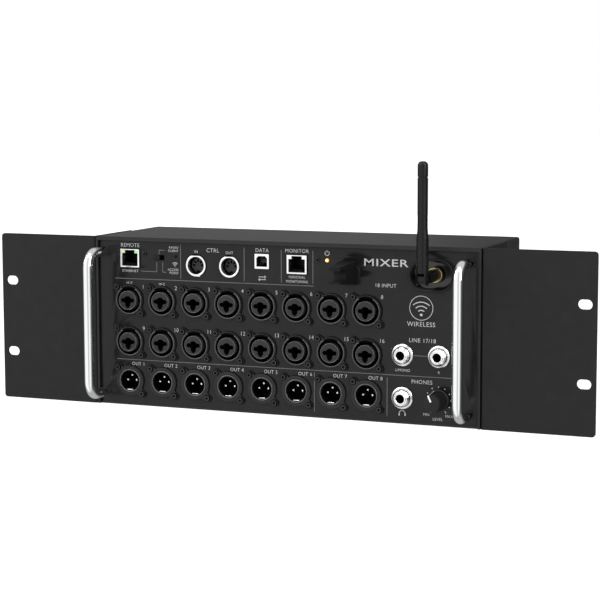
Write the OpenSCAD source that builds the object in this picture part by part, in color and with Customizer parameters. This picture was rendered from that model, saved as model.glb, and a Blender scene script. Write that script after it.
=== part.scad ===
// Rack-mount digital mixer and wireless receiver: a 3U stage box with a panel of audio
// sockets, two bar handles and a swivelling antenna.
// Frame: +X to the right, +Y into the unit, +Z up. The origin is the centre of the four
// rack slots, on the front face of the ears.

/* [Rack format] */
// Overall width across both ears
rack_w = 482.6; // [480:0.1:483]
// Height of the ears and of the body
unit_h = 132.5; // [131:0.1:133.4]
// Distance between the left and right slot centres
slot_span_x = 465.1; // [464:0.1:466]
// Distance between the upper and lower slot centres
slot_span_z = 57.15; // [57.1:0.01:57.2]
// End-to-end length of a rack slot
slot_len = 10.6; // [9.5:0.1:11]
// Height of a rack slot
slot_h = 7.2; // [6.6:0.1:7.4]
// Thickness of an ear
ear_t = 2; // [1.5:0.1:2.5]
// Depth of the flange that bolts an ear to the side of the body
ear_flange_d = 62; // [58:1:66]

/* [Body] */
// Width of the body between the ears
body_w = 312.8; // [310:0.1:315]
// Depth of the body behind the front plane
body_d = 106; // [104:0.5:110]
// Thickness of the folded steel sheets
sheet = 1.5; // [1.2:0.1:1.5]
// Height of the folded lip over the front panel
lip_h = 3.1; // [2.5:0.1:3.5]
// Distance from the front plane back to the face of the front panel
panel_y = 2; // [1.8:0.1:2.2]
// Thickness of the front panel
panel_t = 2; // [1.6:0.1:2.2]

/* [Handles] */
// Distance of each handle from the centre line
handle_x = 148; // [147:0.5:149]
// Diameter of the handle bar
handle_d = 8; // [7:0.5:8.5]
// Distance from the panel face to the centre line of the bar
handle_reach = 31.5; // [30:0.5:38]
// Distance between the two legs of a handle
handle_span = 110.5; // [108:0.5:113]
// Bend radius of the bar's centre line
handle_bend = 11.5; // [8:0.5:14]

/* [Socket grid] */
// X of the first column of sockets
column_x0 = -128.4; // [-129:0.1:-128]
// Distance between columns
column_pitch = 28.1; // [28:0.1:28.3]
// Z of the upper row of inputs
input_z_upper = 16.75; // [16:0.05:17.5]
// Z of the lower row of inputs
input_z_lower = -15.95; // [-16.5:0.05:-15.5]
// Z of the row of outputs
output_z = -46.75; // [-47.2:0.05:-46]
// Radius of a socket's round flange
flange_r = 11.75; // [11.6:0.05:12]
// Bore radius of a 6.35 mm jack socket
jack_bore_r = 3.25; // [3.2:0.01:3.3]

/* [Antenna] */
// X of the antenna connector
antenna_x = 119.6; // [119:0.1:120]
// Z of the antenna connector
antenna_z = 44.8; // [44.5:0.1:45]
// Distance of the antenna hinge in front of the ears
antenna_reach = 23.5; // [22:0.5:24]
// Z of the antenna's tip
antenna_tip_z = 129; // [120:1:135]
// Radius of the lower part of the antenna
whip_r_low = 4.4; // [4.3:0.05:4.5]
// Radius of the upper part of the antenna
whip_r_high = 3.75; // [3.5:0.05:4]
// X of the parking clip
clip_x = 54.8; // [54:0.1:59]

/* [Level control] */
// X of the level knob
knob_x = 124.3; // [124:0.1:125]
// Z of the level knob
knob_z = -46.85; // [-47:0.05:-46.5]
// Angle of the pointer at rest, left of straight up
knob_rest_deg = 25; // [0:5:120]

/* [Hidden] */

$fn = 64;
top_z = unit_h / 2;
side_x = body_w / 2;
inner_x = side_x - sheet;
panel_back = panel_y + panel_t;
panel_half_w = inner_x - 0.5;
panel_bottom = -top_z + sheet + 0.1;
panel_top = top_z - lip_h - 0.1;
rear_y = body_d - sheet;
fold_r = 2;
gap = 0.1;

// Folded flanges that hold the sheets together
tab_h = 12;
tab_inset = 4;

// Sockets
input_pos = [for (z = [input_z_upper, input_z_lower], i = [0:7])
    [column_x0 + i * column_pitch, z]];
output_pos = [for (i = [0:7]) [column_x0 + i * column_pitch, output_z]];
socket_pos = concat(input_pos, output_pos);
flange_t = 1.5;
flange_y = panel_y - flange_t;
lug_x = 10.3;
lug_z = 10.1;
lug_r = 3.1;
lug_hole_r = 1.5;
socket_back = 24;
socket_wall = 2;
input_barrel_r = 11;
input_groove_r = 10;
insert_r = 8;
insert_proud = 2.5;
contact_r = 1.5;
contact_depth = 10;
output_barrel_r = 9.6;
output_cup_r = 8.1;
output_cup_depth = 16;
pin_r = 1.2;
pin_offset = 3.9;
pin_front = 4.2;

// Data ports
port_w = 17.1;
port_h = 14.5;
port_front = 1.2;
port_back = 18;
port_open_w = 12.2;
port_open_h = 9;
port_open_z = -0.95;
port_key_w = 7.2;
port_key_top = 5.85;
port_liner = 0.5;
remote_pos = [-127.45, 49.6];
monitor_pos = [12.65, 49.3];
lamp_w = 2.4;
lamp_h = 1.7;
lamp_x = 5.5;
lamp_z = 5.05;
din_in_pos = [-70.8, 45.7];
din_out_pos = [-42.8, 45.8];
din_r = 8.4;
din_bore_r = 6.7;
din_flat = 7.7;
din_insert_r = 5.2;
din_insert_front = 5.6;
din_pin_ring = 3.6;
usb_pos = [-15.8, 50.75];
usb_w = 11.9;
usb_h = 11.4;
usb_open_w = 8.6;
usb_open_h = 7.9;
usb_tongue_front = 6.2;
mode_pos = [-102.2, 50.8];
mode_slot_w = 8.7;
mode_slot_h = 3.9;
mode_lever_w = 4.3;
mode_lever_h = 3.5;
mode_travel = 4;
status_pos = [-88.1, 52.1];
status_r = 1;
power_pos = [36.9, 53.2];
power_r = 1.45;
small_screw_pos = [[-114.8, 53.15], [29.5, 53.25]];

// Jacks and knob
line_left_pos = [96.3, -14.85];
line_right_pos = [124.5, -14.85];
phones_pos = [96.3, -46.95];
jack_proud = 5.5;
jack_bush_r = 4.5;
jack_back = 34;
jack_block = 17;
knob_proud = 17;
knob_r = 8.2;
knob_face_r = 6.3;
shaft_r = 3;
shaft_clear = 0.05;

// Antenna
cup_x = 118.1;
cup_z = 44.7;
cup_w = 31.4;
cup_h = 20.8;
cup_wall = 1.1;
cup_floor = 10.8;
cup_back = 12;
thread_r = 3.1;
thread_front = 2.6;
coupling_r = 6.1;
coupling_y = [4.5, 8.6];
collar_r = 4.6;
hinge_gap = 5.2;
tongue_w = 4.6;
tongue_r = 3.4;
fork_w = 5;
fork_top = 4.1;
pin_axle_r = 1;
clip_bore_r = 4.7;
clip_tip = 30;

// Rear fittings
inlet_x = 112;
inlet_z = -38;
switch_x = 76;
switch_z = -38;
rocker_deg = 8;
rocker_pivot_y = 103;
stub_r = 1.2;
board_z = -56;
board_t = 1.6;

// Cylinder along Y from y = a to y = b
module rod_y(r, a, b) {
    translate([0, a, 0]) rotate([-90, 0, 0]) cylinder(r = r, h = b - a);
}

// Turns a profile of [radius, y] points round the Y axis
module turn_y(points) {
    rotate([-90, 0, 0]) rotate_extrude() polygon(points);
}

// Extrudes an X-Z outline along Y from y = a to y = b
module slab(a, b) {
    translate([0, b, 0]) rotate([90, 0, 0]) linear_extrude(b - a) children();
}

// Box between two corners
module block(a, b) {
    translate(a) cube(b - a);
}

module at(p) {
    translate([p[0], 0, p[1]]) children();
}

module at2(p) {
    translate(p) children();
}

module rounded(w, h, r) {
    square([w - 2 * r, h], center = true);
    square([w, h - 2 * r], center = true);
    for (sx = [-1, 1], sz = [-1, 1])
        translate([sx * (w / 2 - r), sz * (h / 2 - r)]) circle(r);
}

module stadium(w, h) {
    square([w - h, h], center = true);
    for (s = [-1, 1]) translate([s * (w - h) / 2, 0]) circle(h / 2);
}

// Bottom tray with side flanges and a rear upstand
module chassis_base() {
    color([0.16, 0.16, 0.17]) {
        tab_top = -top_z + tab_h;
        difference() {
            union() {
                block([-inner_x + gap, panel_y, -top_z], [inner_x - gap, rear_y - gap, -top_z + sheet]);
                for (s = [-1, 1])
                    block([s > 0 ? inner_x - gap - sheet : -inner_x + gap, panel_back + 1, -top_z],
                          [s > 0 ? inner_x - gap : -inner_x + gap + sheet, rear_y - gap, tab_top]);
                block([-inner_x + tab_inset, rear_y - gap - sheet, -top_z],
                      [inner_x - tab_inset, rear_y - gap, tab_top]);
            }
            cover_screw_places() rod_y(1.6, -8, 1);
        }
    }
}

// Wrap-round cover: top, two sides, front lip and rear flange
module top_cover() {
    color([0.19, 0.19, 0.2]) difference() {
        union() {
            slab(0, body_d) difference() {
                union() {
                    translate([-side_x, -top_z]) square([body_w, unit_h - fold_r]);
                    translate([-side_x + fold_r, 0]) square([body_w - 2 * fold_r, top_z]);
                    for (s = [-1, 1]) translate([s * (side_x - fold_r), top_z - fold_r]) circle(fold_r);
                }
                translate([-inner_x, -top_z - 1]) square([2 * inner_x, unit_h - sheet + 1]);
            }
            block([-inner_x, 0, top_z - lip_h], [inner_x, sheet, top_z - sheet]);
            block([-inner_x, rear_y - gap - sheet, top_z - tab_h],
                  [inner_x, rear_y - gap, top_z - sheet]);
        }
        cover_screw_places() rod_y(1.6, -8, 1);
        ear_screw_places() rod_y(2, -8, 1);
    }
}

// Places of the screws that close the body: two on each side, three along each rear edge.
// Each place has its outer face at y = 0, and the screw runs towards -Y.
module cover_screw_places() {
    for (s = [-1, 1], y = [76, 96])
        translate([s * side_x, y, -top_z + 7]) rotate([0, 0, s * -90]) children();
    for (x = [-130, 0, 130], z = [-top_z + 7, top_z - 7])
        translate([x, body_d, z]) children();
}

module ear_screw_places() {
    for (s = [-1, 1], y = [22, 50], z = [-44, 44])
        translate([s * (side_x + gap + ear_t), y, z]) rotate([0, 0, s * -90]) children();
}

module screw(head_r, head_h, shaft_r, shaft_l) {
    difference() {
        rod_y(head_r, 0, head_h);
        translate([0, head_h, 0]) for (a = [0, 90]) rotate([0, a, 0])
            cube([head_r * 1.2, head_h, head_r * 0.3], center = true);
    }
    rod_y(shaft_r, -shaft_l, 0);
}

module cover_screws() {
    color([0.1, 0.1, 0.1]) cover_screw_places() screw(2.8, 1.3, 1.5, 4);
}

module ear_screws() {
    color([0.1, 0.1, 0.1]) ear_screw_places() screw(3.4, 1.8, 1.9, 5.5);
}

// Rear plate with the inlet, the switch and two fields of vent slots
module rear_panel() {
    color([0.17, 0.17, 0.18]) difference() {
        slab(rear_y, body_d) difference() {
            translate([-inner_x + gap, -top_z + gap]) square([2 * (inner_x - gap), unit_h - sheet - 2 * gap]);
            at2([inlet_x, inlet_z]) square([28.4, 20.4], center = true);
            at2([switch_x, switch_z]) square([13.4, 21.4], center = true);
            for (row = [0, 1], i = [0:13])
                at2([-126 + i * 9, 22 - row * 34]) square([3, 24], center = true);
        }
        cover_screw_places() rod_y(1.6, -8, 1);
    }
}

// Front plate with every socket cut-out
module front_panel() {
    color([0.2, 0.2, 0.21]) slab(panel_y, panel_back) difference() {
        translate([-panel_half_w, panel_bottom]) square([2 * panel_half_w, panel_top - panel_bottom]);
        for (p = input_pos) at2(p) circle(input_barrel_r + gap);
        for (p = output_pos) at2(p) circle(output_barrel_r + gap);
        for (p = socket_pos, s = [-1, 1]) at2(p + [-s * lug_x, s * lug_z]) circle(lug_hole_r);
        for (p = [remote_pos, monitor_pos]) at2(p) square([port_w + 0.6, port_h + 0.6], center = true);
        for (p = [din_in_pos, din_out_pos]) at2(p) circle(din_r + 0.4);
        at2(usb_pos) square([usb_w + 0.6, usb_h + 0.6], center = true);
        at2(mode_pos) square([mode_slot_w, mode_slot_h], center = true);
        at2(status_pos) circle(status_r + 0.05);
        at2(power_pos) circle(power_r + 0.05);
        for (p = small_screw_pos) at2(p) circle(1);
        for (p = [line_left_pos, line_right_pos, phones_pos]) at2(p) circle(jack_bush_r + gap);
        at2([knob_x, knob_z]) circle(4.5);
        at2([cup_x, cup_z]) stadium(cup_w + 2 * cup_wall + 0.2, cup_h + 2 * cup_wall + 0.2);
        at2([clip_x, antenna_z]) circle(2.2);
        for (s = [-1, 1], t = [-1, 1])
            at2([s * handle_x, handle_mid_z() + t * handle_span / 2]) circle(2.2);
    }
}

// Rack ear: slotted front plate and a flange folded back along the body
module ear(side) {
    fold_x = side_x + gap;
    ear_w = rack_w / 2 - fold_x;
    bend = ear_t + 1;
    corner_r = 2.6;
    module front_outline() difference() {
        translate([fold_x + ear_w / 2, 0]) rounded(ear_w, unit_h, corner_r);
        for (t = [-1, 1]) at2([slot_span_x / 2, t * slot_span_z / 2]) stadium(slot_len, slot_h);
    }
    // The folded corner, seen from above
    module fold_outline() {
        translate([fold_x, bend]) square([ear_t, ear_flange_d - bend]);
        difference() {
            translate([fold_x + bend, bend]) circle(bend);
            translate([fold_x + bend, bend]) circle(bend - ear_t);
            translate([fold_x + bend, -1]) square([2 * bend, 4 * bend]);
            translate([fold_x - 1, bend]) square([3 * bend, 2 * bend]);
        }
    }
    module flat_part() intersection() {
        slab(0, ear_t) front_outline();
        block([fold_x + bend, -1, -unit_h], [rack_w, ear_t + 1, unit_h]);
    }
    mirror([side < 0 ? 1 : 0, 0, 0]) difference() {
        union() {
            flat_part();
            translate([0, 0, -unit_h / 2]) linear_extrude(unit_h) fold_outline();
        }
        for (y = [22, 50], z = [-44, 44])
            translate([fold_x - 1, y, z]) rotate([0, 90, 0]) cylinder(r = 2, h = 2 * ear_t + 1);
    }
}

module ear_left() {
    color([0.17, 0.17, 0.18]) ear(-1);
}

module ear_right() {
    color([0.17, 0.17, 0.18]) ear(1);
}

function handle_mid_z() = -0.35;

// Round bar bent into a bow, with a tapped hole in the end of each leg
module handle(x) {
    r = handle_d / 2;
    bar_y = panel_y - handle_reach;
    translate([x, 0, handle_mid_z()]) difference() {
        union() {
            translate([0, bar_y, -handle_span / 2 + handle_bend])
                cylinder(r = r, h = handle_span - 2 * handle_bend);
            for (t = [-1, 1]) {
                translate([0, 0, t * handle_span / 2]) rod_y(r, bar_y + handle_bend, panel_y);
                translate([0, bar_y + handle_bend, t * (handle_span / 2 - handle_bend)])
                    rotate([0, 90, 0]) rotate([0, 0, t > 0 ? 180 : 270])
                        rotate_extrude(angle = 90) translate([handle_bend, 0]) circle(r);
            }
        }
        for (t = [-1, 1]) translate([0, 0, t * handle_span / 2]) rod_y(2.05, panel_y - 11, panel_y + 1);
    }
}

module handle_left() {
    color([0.82, 0.83, 0.85]) handle(-handle_x);
}

module handle_right() {
    color([0.82, 0.83, 0.85]) handle(handle_x);
}

module handle_bolts() {
    color([0.5, 0.5, 0.52]) for (s = [-1, 1], t = [-1, 1])
        translate([s * handle_x, panel_back, handle_mid_z() + t * handle_span / 2])
            screw(3.8, 2.6, 2, 11);
}

// Round flange with two diagonal screw lugs
module flange_outline() {
    circle(flange_r);
    for (s = [-1, 1]) {
        translate([-s * lug_x, s * lug_z]) circle(lug_r);
        rotate(s > 0 ? 135 : -45) translate([0, -lug_r]) square([lug_x * 1.33, 2 * lug_r]);
    }
}

module lug_holes() {
    for (s = [-1, 1]) translate([-s * lug_x, 0, s * lug_z]) rod_y(lug_hole_r, -1, panel_y + 1);
}

module input_shell() {
    difference() {
        union() {
            slab(flange_y, panel_y) flange_outline();
            rod_y(input_barrel_r, flange_y, socket_back);
        }
        rod_y(input_groove_r, flange_y - 1, socket_back - socket_wall);
        lug_holes();
    }
}

module input_insert() {
    difference() {
        rod_y(insert_r, flange_y - insert_proud, socket_back - socket_wall);
        rod_y(jack_bore_r, flange_y - insert_proud - 1, socket_back - socket_wall - 1);
        for (p = [[-4, 0], [4, 0], [0, -5]])
            at(p) rod_y(contact_r, flange_y - insert_proud - 1, flange_y - insert_proud + contact_depth);
    }
}

module input_shells() {
    color([0.07, 0.07, 0.07]) for (p = input_pos) at(p) input_shell();
}

module input_inserts() {
    color([0.1, 0.1, 0.1]) for (p = input_pos) at(p) input_insert();
}

module output_shell() {
    difference() {
        union() {
            slab(flange_y, panel_y) flange_outline();
            rod_y(output_barrel_r, flange_y, socket_back);
        }
        rod_y(output_cup_r, flange_y - 1, flange_y + output_cup_depth);
        lug_holes();
    }
}

module output_shells() {
    color([0.07, 0.07, 0.07]) for (p = output_pos) at(p) output_shell();
}

module output_pins() {
    color([0.85, 0.85, 0.8]) for (p = output_pos, q = [[-1, 0], [1, 0], [0, 1]])
        at(p + pin_offset * q) {
            rod_y(pin_r, pin_front + pin_r, flange_y + output_cup_depth);
            translate([0, pin_front + pin_r, 0]) sphere(pin_r);
        }
}

module output_ground_tabs() {
    color([0.85, 0.85, 0.8]) for (p = output_pos)
        at(p) block([-2.5, flange_y + 0.6, -7.55], [2.5, flange_y + output_cup_depth, -6.85]);
}

module connector_screws() {
    color([0.08, 0.08, 0.08]) for (p = socket_pos, s = [-1, 1])
        at(p + [-s * lug_x, s * lug_z]) {
            difference() {
                rod_y(2.2, flange_y - 0.8, flange_y);
                rod_y(0.7, flange_y - 1.5, flange_y - 0.2);
            }
            rod_y(1.4, flange_y, panel_back + 1);
        }
}

// Mouth of a data port with the latch step at the top
module port_mouth(extra) {
    translate([0, port_open_z]) square([port_open_w + extra, port_open_h + extra], center = true);
    translate([-port_key_w / 2 - extra / 2, port_open_z])
        square([port_key_w + extra, port_key_top + extra / 2 - port_open_z]);
}

module port_shell(has_lamps) {
    slab(port_front, port_back) difference() {
        square([port_w, port_h], center = true);
        port_mouth(2 * port_liner);
        if (has_lamps) for (s = [-1, 1]) at2([s * lamp_x, lamp_z]) square([lamp_w, lamp_h], center = true);
    }
}

module port_body() {
    slab(port_front + 0.8, port_back - 2) difference() {
        port_mouth(2 * port_liner - 0.02);
        port_mouth(0);
    }
    slab(port_back - 2, port_back) port_mouth(2 * port_liner - 0.02);
}

module remote_port_shell() {
    color([0.86, 0.87, 0.88]) at(remote_pos) port_shell(true);
}

module remote_port_body() {
    color([0.05, 0.05, 0.05]) at(remote_pos) port_body();
}

module remote_port_lamps() {
    color([0.6, 0.8, 0.2]) for (s = [-1, 1]) at(remote_pos + [s * lamp_x, lamp_z])
        slab(port_front - 0.1, port_front + 5) square([lamp_w - 0.05, lamp_h - 0.05], center = true);
}

module monitor_port_shell() {
    color([0.86, 0.87, 0.88]) at(monitor_pos) port_shell(false);
}

module monitor_port_body() {
    color([0.05, 0.05, 0.05]) at(monitor_pos) port_body();
}

// Ring of a round five-pole socket, flat along the top
module din_shell() {
    slab(port_front - 0.2, port_back) difference() {
        intersection() {
            circle(din_r);
            translate([-din_r, -din_r]) square([2 * din_r, din_r + din_flat]);
        }
        circle(din_bore_r);
    }
}

module din_insert() {
    difference() {
        union() {
            rod_y(din_insert_r, din_insert_front, port_back);
            rod_y(din_bore_r - 0.02, port_back - 4, port_back);
        }
        for (a = [0:45:180]) at([din_pin_ring * cos(a), din_pin_ring * sin(a)])
            rod_y(0.9, din_insert_front - 1, port_back - 3);
        block([-1.3, din_insert_front - 1, -din_insert_r - 1], [1.3, port_back - 4, -din_insert_r + 1.2]);
    }
}

module din_in_shell() {
    color([0.85, 0.86, 0.88]) at(din_in_pos) din_shell();
}

module din_in_insert() {
    color([0.08, 0.08, 0.08]) at(din_in_pos) din_insert();
}

module din_out_shell() {
    color([0.85, 0.86, 0.88]) at(din_out_pos) din_shell();
}

module din_out_insert() {
    color([0.08, 0.08, 0.08]) at(din_out_pos) din_insert();
}

module usb_shell() {
    bevel = 1.6;
    color([0.86, 0.87, 0.88]) at(usb_pos) difference() {
        slab(port_front, port_back) square([usb_w, usb_h], center = true);
        slab(port_front - 1, port_back - 2) polygon([
            [-usb_open_w / 2, -usb_open_h / 2], [usb_open_w / 2, -usb_open_h / 2],
            [usb_open_w / 2, usb_open_h / 2 - bevel], [usb_open_w / 2 - bevel, usb_open_h / 2],
            [-usb_open_w / 2 + bevel, usb_open_h / 2], [-usb_open_w / 2, usb_open_h / 2 - bevel]]);
    }
}

module usb_tongue() {
    color([0.3, 0.3, 0.3]) at(usb_pos)
        block([-2.8, usb_tongue_front, -1.6], [2.8, port_back - 2, 1.6]);
}

module mode_switch_body() {
    color([0.12, 0.12, 0.12]) at(mode_pos) difference() {
        block([-8, panel_back, -3.6], [8, panel_back + 5, 3.6]);
        block([-mode_slot_w / 2 - gap, panel_back - 1, -mode_slot_h / 2],
              [mode_slot_w / 2 + gap, panel_back + 4, mode_slot_h / 2]);
    }
}

// Three-position lever at its left stop
module mode_switch_lever() {
    color([0.25, 0.25, 0.25]) at(mode_pos) translate([-mode_travel / 2, 0, 0])
        difference() {
            block([-mode_lever_w / 2, panel_y - 1, -mode_lever_h / 2],
                  [mode_lever_w / 2, panel_back + 3.8, mode_lever_h / 2]);
            for (x = [-1.3, 0, 1.3]) block([x - 0.25, panel_y - 2, -mode_lever_h], [x + 0.25, panel_y - 0.6, mode_lever_h]);
        }
}

module lamp(r) {
    rod_y(r, panel_y, panel_back + 3);
    translate([0, panel_y, 0]) sphere(r);
}

module status_lamp() {
    color([0.1, 0.1, 0.12]) at(status_pos) lamp(status_r);
}

module power_lamp() {
    color([1, 0.6, 0.15]) at(power_pos) lamp(power_r);
}

module panel_screws() {
    color([0.1, 0.1, 0.1]) for (p = small_screw_pos) at(p) {
        difference() {
            rod_y(1.7, panel_y - 0.7, panel_y);
            rod_y(0.6, panel_y - 1.5, panel_y - 0.2);
        }
        rod_y(0.95, panel_y, panel_back + 4);
    }
}

// Jack socket: threaded bush through the panel on a moulded block
module jack(p) {
    front = panel_y - jack_proud;
    color([0.75, 0.76, 0.78]) at(p) difference() {
        union() {
            rod_y(jack_bush_r, front, panel_back + 2);
            slab(panel_back, jack_back) rounded(jack_block, jack_block, 1.5);
        }
        rod_y(jack_bore_r, front - 1, jack_back - 1);
    }
}

module line_jack_left() {
    jack(line_left_pos);
}

module line_jack_right() {
    jack(line_right_pos);
}

module phones_jack() {
    jack(phones_pos);
}

module jack_nuts() {
    front = panel_y - jack_proud + 0.3;
    color([0.85, 0.86, 0.88]) for (p = [line_left_pos, line_right_pos, phones_pos]) at(p)
        turn_y([[jack_bush_r + 0.02, panel_y], [8.3, panel_y], [8.3, panel_y - 0.8], [7.6, panel_y - 1.4],
            [6.9, panel_y - 1.6], [6.6, panel_y - 3.6], [5.6, front + 0.4], [5, front],
            [jack_bush_r + 0.02, front]]);
}

// Outline of the knob as [radius, y], grown by d
function knob_outline(d) = [[0, panel_y - knob_proud - d], [knob_face_r - 0.6 + d, panel_y - knob_proud - d],
    [knob_face_r + d, panel_y - knob_proud + 0.6], [7.3 + d, 0.2], [knob_r + d, 0.6],
    [knob_r + d, panel_y - 0.6], [0, panel_y - 0.6]];

module pointer_slot() {
    intersection() {
        rotate([0, -knob_rest_deg, 0])
            block([-0.6, panel_y - knob_proud - 2, 1.5], [0.6, panel_y - 1.8, knob_r + 2]);
        difference() {
            turn_y(knob_outline(0.12));
            turn_y(knob_outline(-0.5));
        }
    }
}

module level_knob() {
    color([0.09, 0.09, 0.09]) at([knob_x, knob_z]) difference() {
        turn_y(knob_outline(0));
        pointer_slot();
        rod_y(6.2, -3.6, panel_y + 1);
        rod_y(shaft_r, -11, 0);
    }
}

module knob_pointer() {
    color([0.95, 0.95, 0.95]) at([knob_x, knob_z]) pointer_slot();
}

module level_shaft() {
    color([0.7, 0.7, 0.72]) at([knob_x, knob_z]) rod_y(shaft_r, -11, 11);
}

module level_pot() {
    color([0.35, 0.36, 0.38]) at([knob_x, knob_z]) difference() {
        union() {
            rod_y(4.4, -2.4, panel_back + 2);
            rod_y(8.5, panel_back, 14);
            block([-7, panel_back + 2, -12], [7, 10, 0]);
        }
        rod_y(shaft_r + shaft_clear, -4, 12);
    }
}

module level_nut() {
    color([0.7, 0.7, 0.72]) at([knob_x, knob_z]) difference() {
        translate([0, -0.2, 0]) rotate([-90, 0, 0]) cylinder(r = 5.8, h = 2.2, $fn = 6);
        rod_y(4.42, -1, 3);
    }
}

// Dished cup round the antenna connector
module antenna_cup() {
    outer_w = cup_w + 2 * cup_wall;
    outer_h = cup_h + 2 * cup_wall;
    color([0.16, 0.16, 0.17]) difference() {
        at([cup_x, cup_z]) difference() {
            union() {
                slab(panel_y - 0.9, panel_y) stadium(outer_w + 1.6, outer_h + 1.6);
                slab(panel_y - 0.9, cup_back) stadium(outer_w, outer_h);
            }
            slab(panel_y - 2, cup_floor) stadium(cup_w, cup_h);
        }
        at([antenna_x, antenna_z]) rod_y(thread_r + 0.02, cup_floor - 1, cup_back + 1);
    }
}

// Threaded bulkhead connector, held by a hexagon behind the cup
module antenna_connector() {
    color([0.83, 0.68, 0.32]) at([antenna_x, antenna_z]) {
        rod_y(thread_r, thread_front, cup_back);
        translate([0, cup_back, 0]) rotate([-90, 0, 0]) cylinder(r = 4.6, h = 2.5, $fn = 6);
        rod_y(2.6, cup_back + 2, 22);
    }
}

module antenna_nut() {
    color([0.83, 0.68, 0.32]) at([antenna_x, antenna_z]) difference() {
        translate([0, cup_floor - 1.8, 0]) rotate([-90, 0, 0]) cylinder(r = 4.8, h = 1.8, $fn = 6);
        rod_y(thread_r + 0.02, 0, cup_back);
    }
}

module antenna_coupling() {
    color([0.87, 0.72, 0.34]) at([antenna_x, antenna_z]) difference() {
        turn_y([[thread_r + 0.05, coupling_y[0]], [coupling_r - 0.5, coupling_y[0]],
            [coupling_r, coupling_y[0] + 0.5], [coupling_r, coupling_y[1] - 0.5],
            [coupling_r - 0.5, coupling_y[1]], [thread_r + 0.05, coupling_y[1]]]);
    }
}

// Moulded barrel of the antenna, with the tongue that carries the hinge
module antenna_collar() {
    hinge_y = -antenna_reach;
    color([0.1, 0.1, 0.1]) at([antenna_x, antenna_z]) difference() {
        union() {
            rod_y(collar_r, hinge_y + hinge_gap, coupling_y[0]);
            translate([-tongue_w / 2, hinge_y, 0]) rotate([0, 90, 0]) cylinder(r = tongue_r, h = tongue_w);
            block([-tongue_w / 2, hinge_y, -tongue_r], [tongue_w / 2, hinge_y + hinge_gap + 1, tongue_r]);
        }
        rod_y(thread_r + 0.1, thread_front - 1, coupling_y[0] + 1);
        translate([-tongue_w, hinge_y, 0]) rotate([0, 90, 0]) cylinder(r = pin_axle_r, h = 2 * tongue_w);
    }
}

module antenna_pin() {
    color([0.6, 0.6, 0.62]) translate([antenna_x - 4, -antenna_reach, antenna_z])
        rotate([0, 90, 0]) cylinder(r = pin_axle_r, h = 8);
}

// Whip: forked foot, thick lower part, taper, groove and domed tip
module antenna_whip() {
    taper_low = 28;
    taper_high = 36;
    tip = antenna_tip_z - antenna_z;
    groove = tip - 11.4;
    dome_r = 3;
    dome = [for (a = [0:15:90]) [whip_r_high - dome_r + dome_r * cos(a), tip - dome_r + dome_r * sin(a)]];
    stem = concat([[0, 0], [whip_r_low, 0], [whip_r_low, taper_low], [whip_r_high, taper_high],
        [whip_r_high, groove - 0.6], [whip_r_high - 0.35, groove - 0.4],
        [whip_r_high - 0.35, groove + 0.4], [whip_r_high, groove + 0.6]], dome, [[0, tip]]);
    color([0.1, 0.1, 0.1]) translate([antenna_x, -antenna_reach, antenna_z]) difference() {
        union() {
            rotate_extrude() polygon(stem);
            intersection() {
                translate([0, 0, -whip_r_low - 1]) cylinder(r = whip_r_low, h = whip_r_low + 2);
                translate([-whip_r_low - 1, 0, 0]) rotate([0, 90, 0])
                    cylinder(r = hinge_gap - 0.6, h = 2 * whip_r_low + 2);
            }
        }
        block([-fork_w / 2, -8, -8], [fork_w / 2, 8, fork_top]);
        translate([-8, 0, 0]) rotate([0, 90, 0]) cylinder(r = pin_axle_r + shaft_clear, h = 16);
    }
}

// Open clip that holds the whip when it is folded down
module antenna_clip() {
    bore_y = -antenna_reach;
    mouth = 3.9;
    back = panel_y - 1.2;
    color([0.07, 0.07, 0.07]) at([clip_x, antenna_z]) {
        difference() {
            intersection() {
                translate([-10, 0, 0]) rotate([0, 90, 0]) rotate([0, 0, 90]) linear_extrude(20)
                    polygon([[back, -8.8], [back, 8.8], [-clip_tip, 6.7], [-clip_tip, -5.6]]);
                translate([0, 0, -12]) linear_extrude(24)
                    polygon([[-6.3, back], [6.3, back], [4, -clip_tip], [-4, -clip_tip]]);
            }
            translate([-10, bore_y, 0]) rotate([0, 90, 0]) cylinder(r = clip_bore_r, h = 20);
            block([-10, -clip_tip - 1, -mouth], [10, bore_y, mouth]);
        }
        turn_y([[0, back], [7.6, back], [8.6, panel_y - 0.3], [8.6, panel_y], [0, panel_y]]);
        rod_y(2.1, panel_y, panel_back + 3);
    }
}

// Thin coaxial lead from the connector down to the wireless module
module antenna_lead() {
    bend = 8;
    r = 0.9;
    color([0.15, 0.15, 0.15]) translate([antenna_x, 22, antenna_z]) {
        rod_y(r, 0, 8);
        translate([0, 8, -bend]) rotate([0, -90, 0]) rotate_extrude(angle = 90) translate([bend, 0]) circle(r);
        translate([0, 8 + bend, -bend - 14]) cylinder(r = r, h = 14);
    }
}

module wireless_module() {
    z = antenna_z - 22;
    color([0.08, 0.3, 0.18]) {
        block([antenna_x - 20, 30, z - 4], [antenna_x + 20, 62, z - 4 + board_t]);
        block([antenna_x - 12, 42, z - 4 + board_t], [antenna_x + 12, 60, z]);
        block([antenna_x - 2, 36, z - 4 + board_t], [antenna_x + 2, 40, z]);
        for (s = [-1, 1]) translate([antenna_x + s * 17, 58, board_z + board_t])
            cylinder(r = 2.5, h = z - 4 - board_z - board_t);
    }
}

// Three-blade mains inlet with a screw flange
module mains_inlet() {
    color([0.06, 0.06, 0.06]) at([inlet_x, inlet_z]) difference() {
        union() {
            slab(body_d, body_d + 2) rounded(48, 24, 5);
            slab(86, body_d) rounded(28, 20, 1.5);
        }
        slab(89, body_d + 3) rounded(24.4, 16.6, 2.5);
        for (s = [-1, 1]) at([s * 20, 0]) rod_y(1.7, body_d - 1, body_d + 3);
    }
}

module inlet_blades() {
    color([0.8, 0.8, 0.78]) at([inlet_x, inlet_z]) for (p = [[-7, 1], [7, 1], [0, 5]])
        at(p) block([-1, 89, -2], [1, 104, 2]);
}

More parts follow.
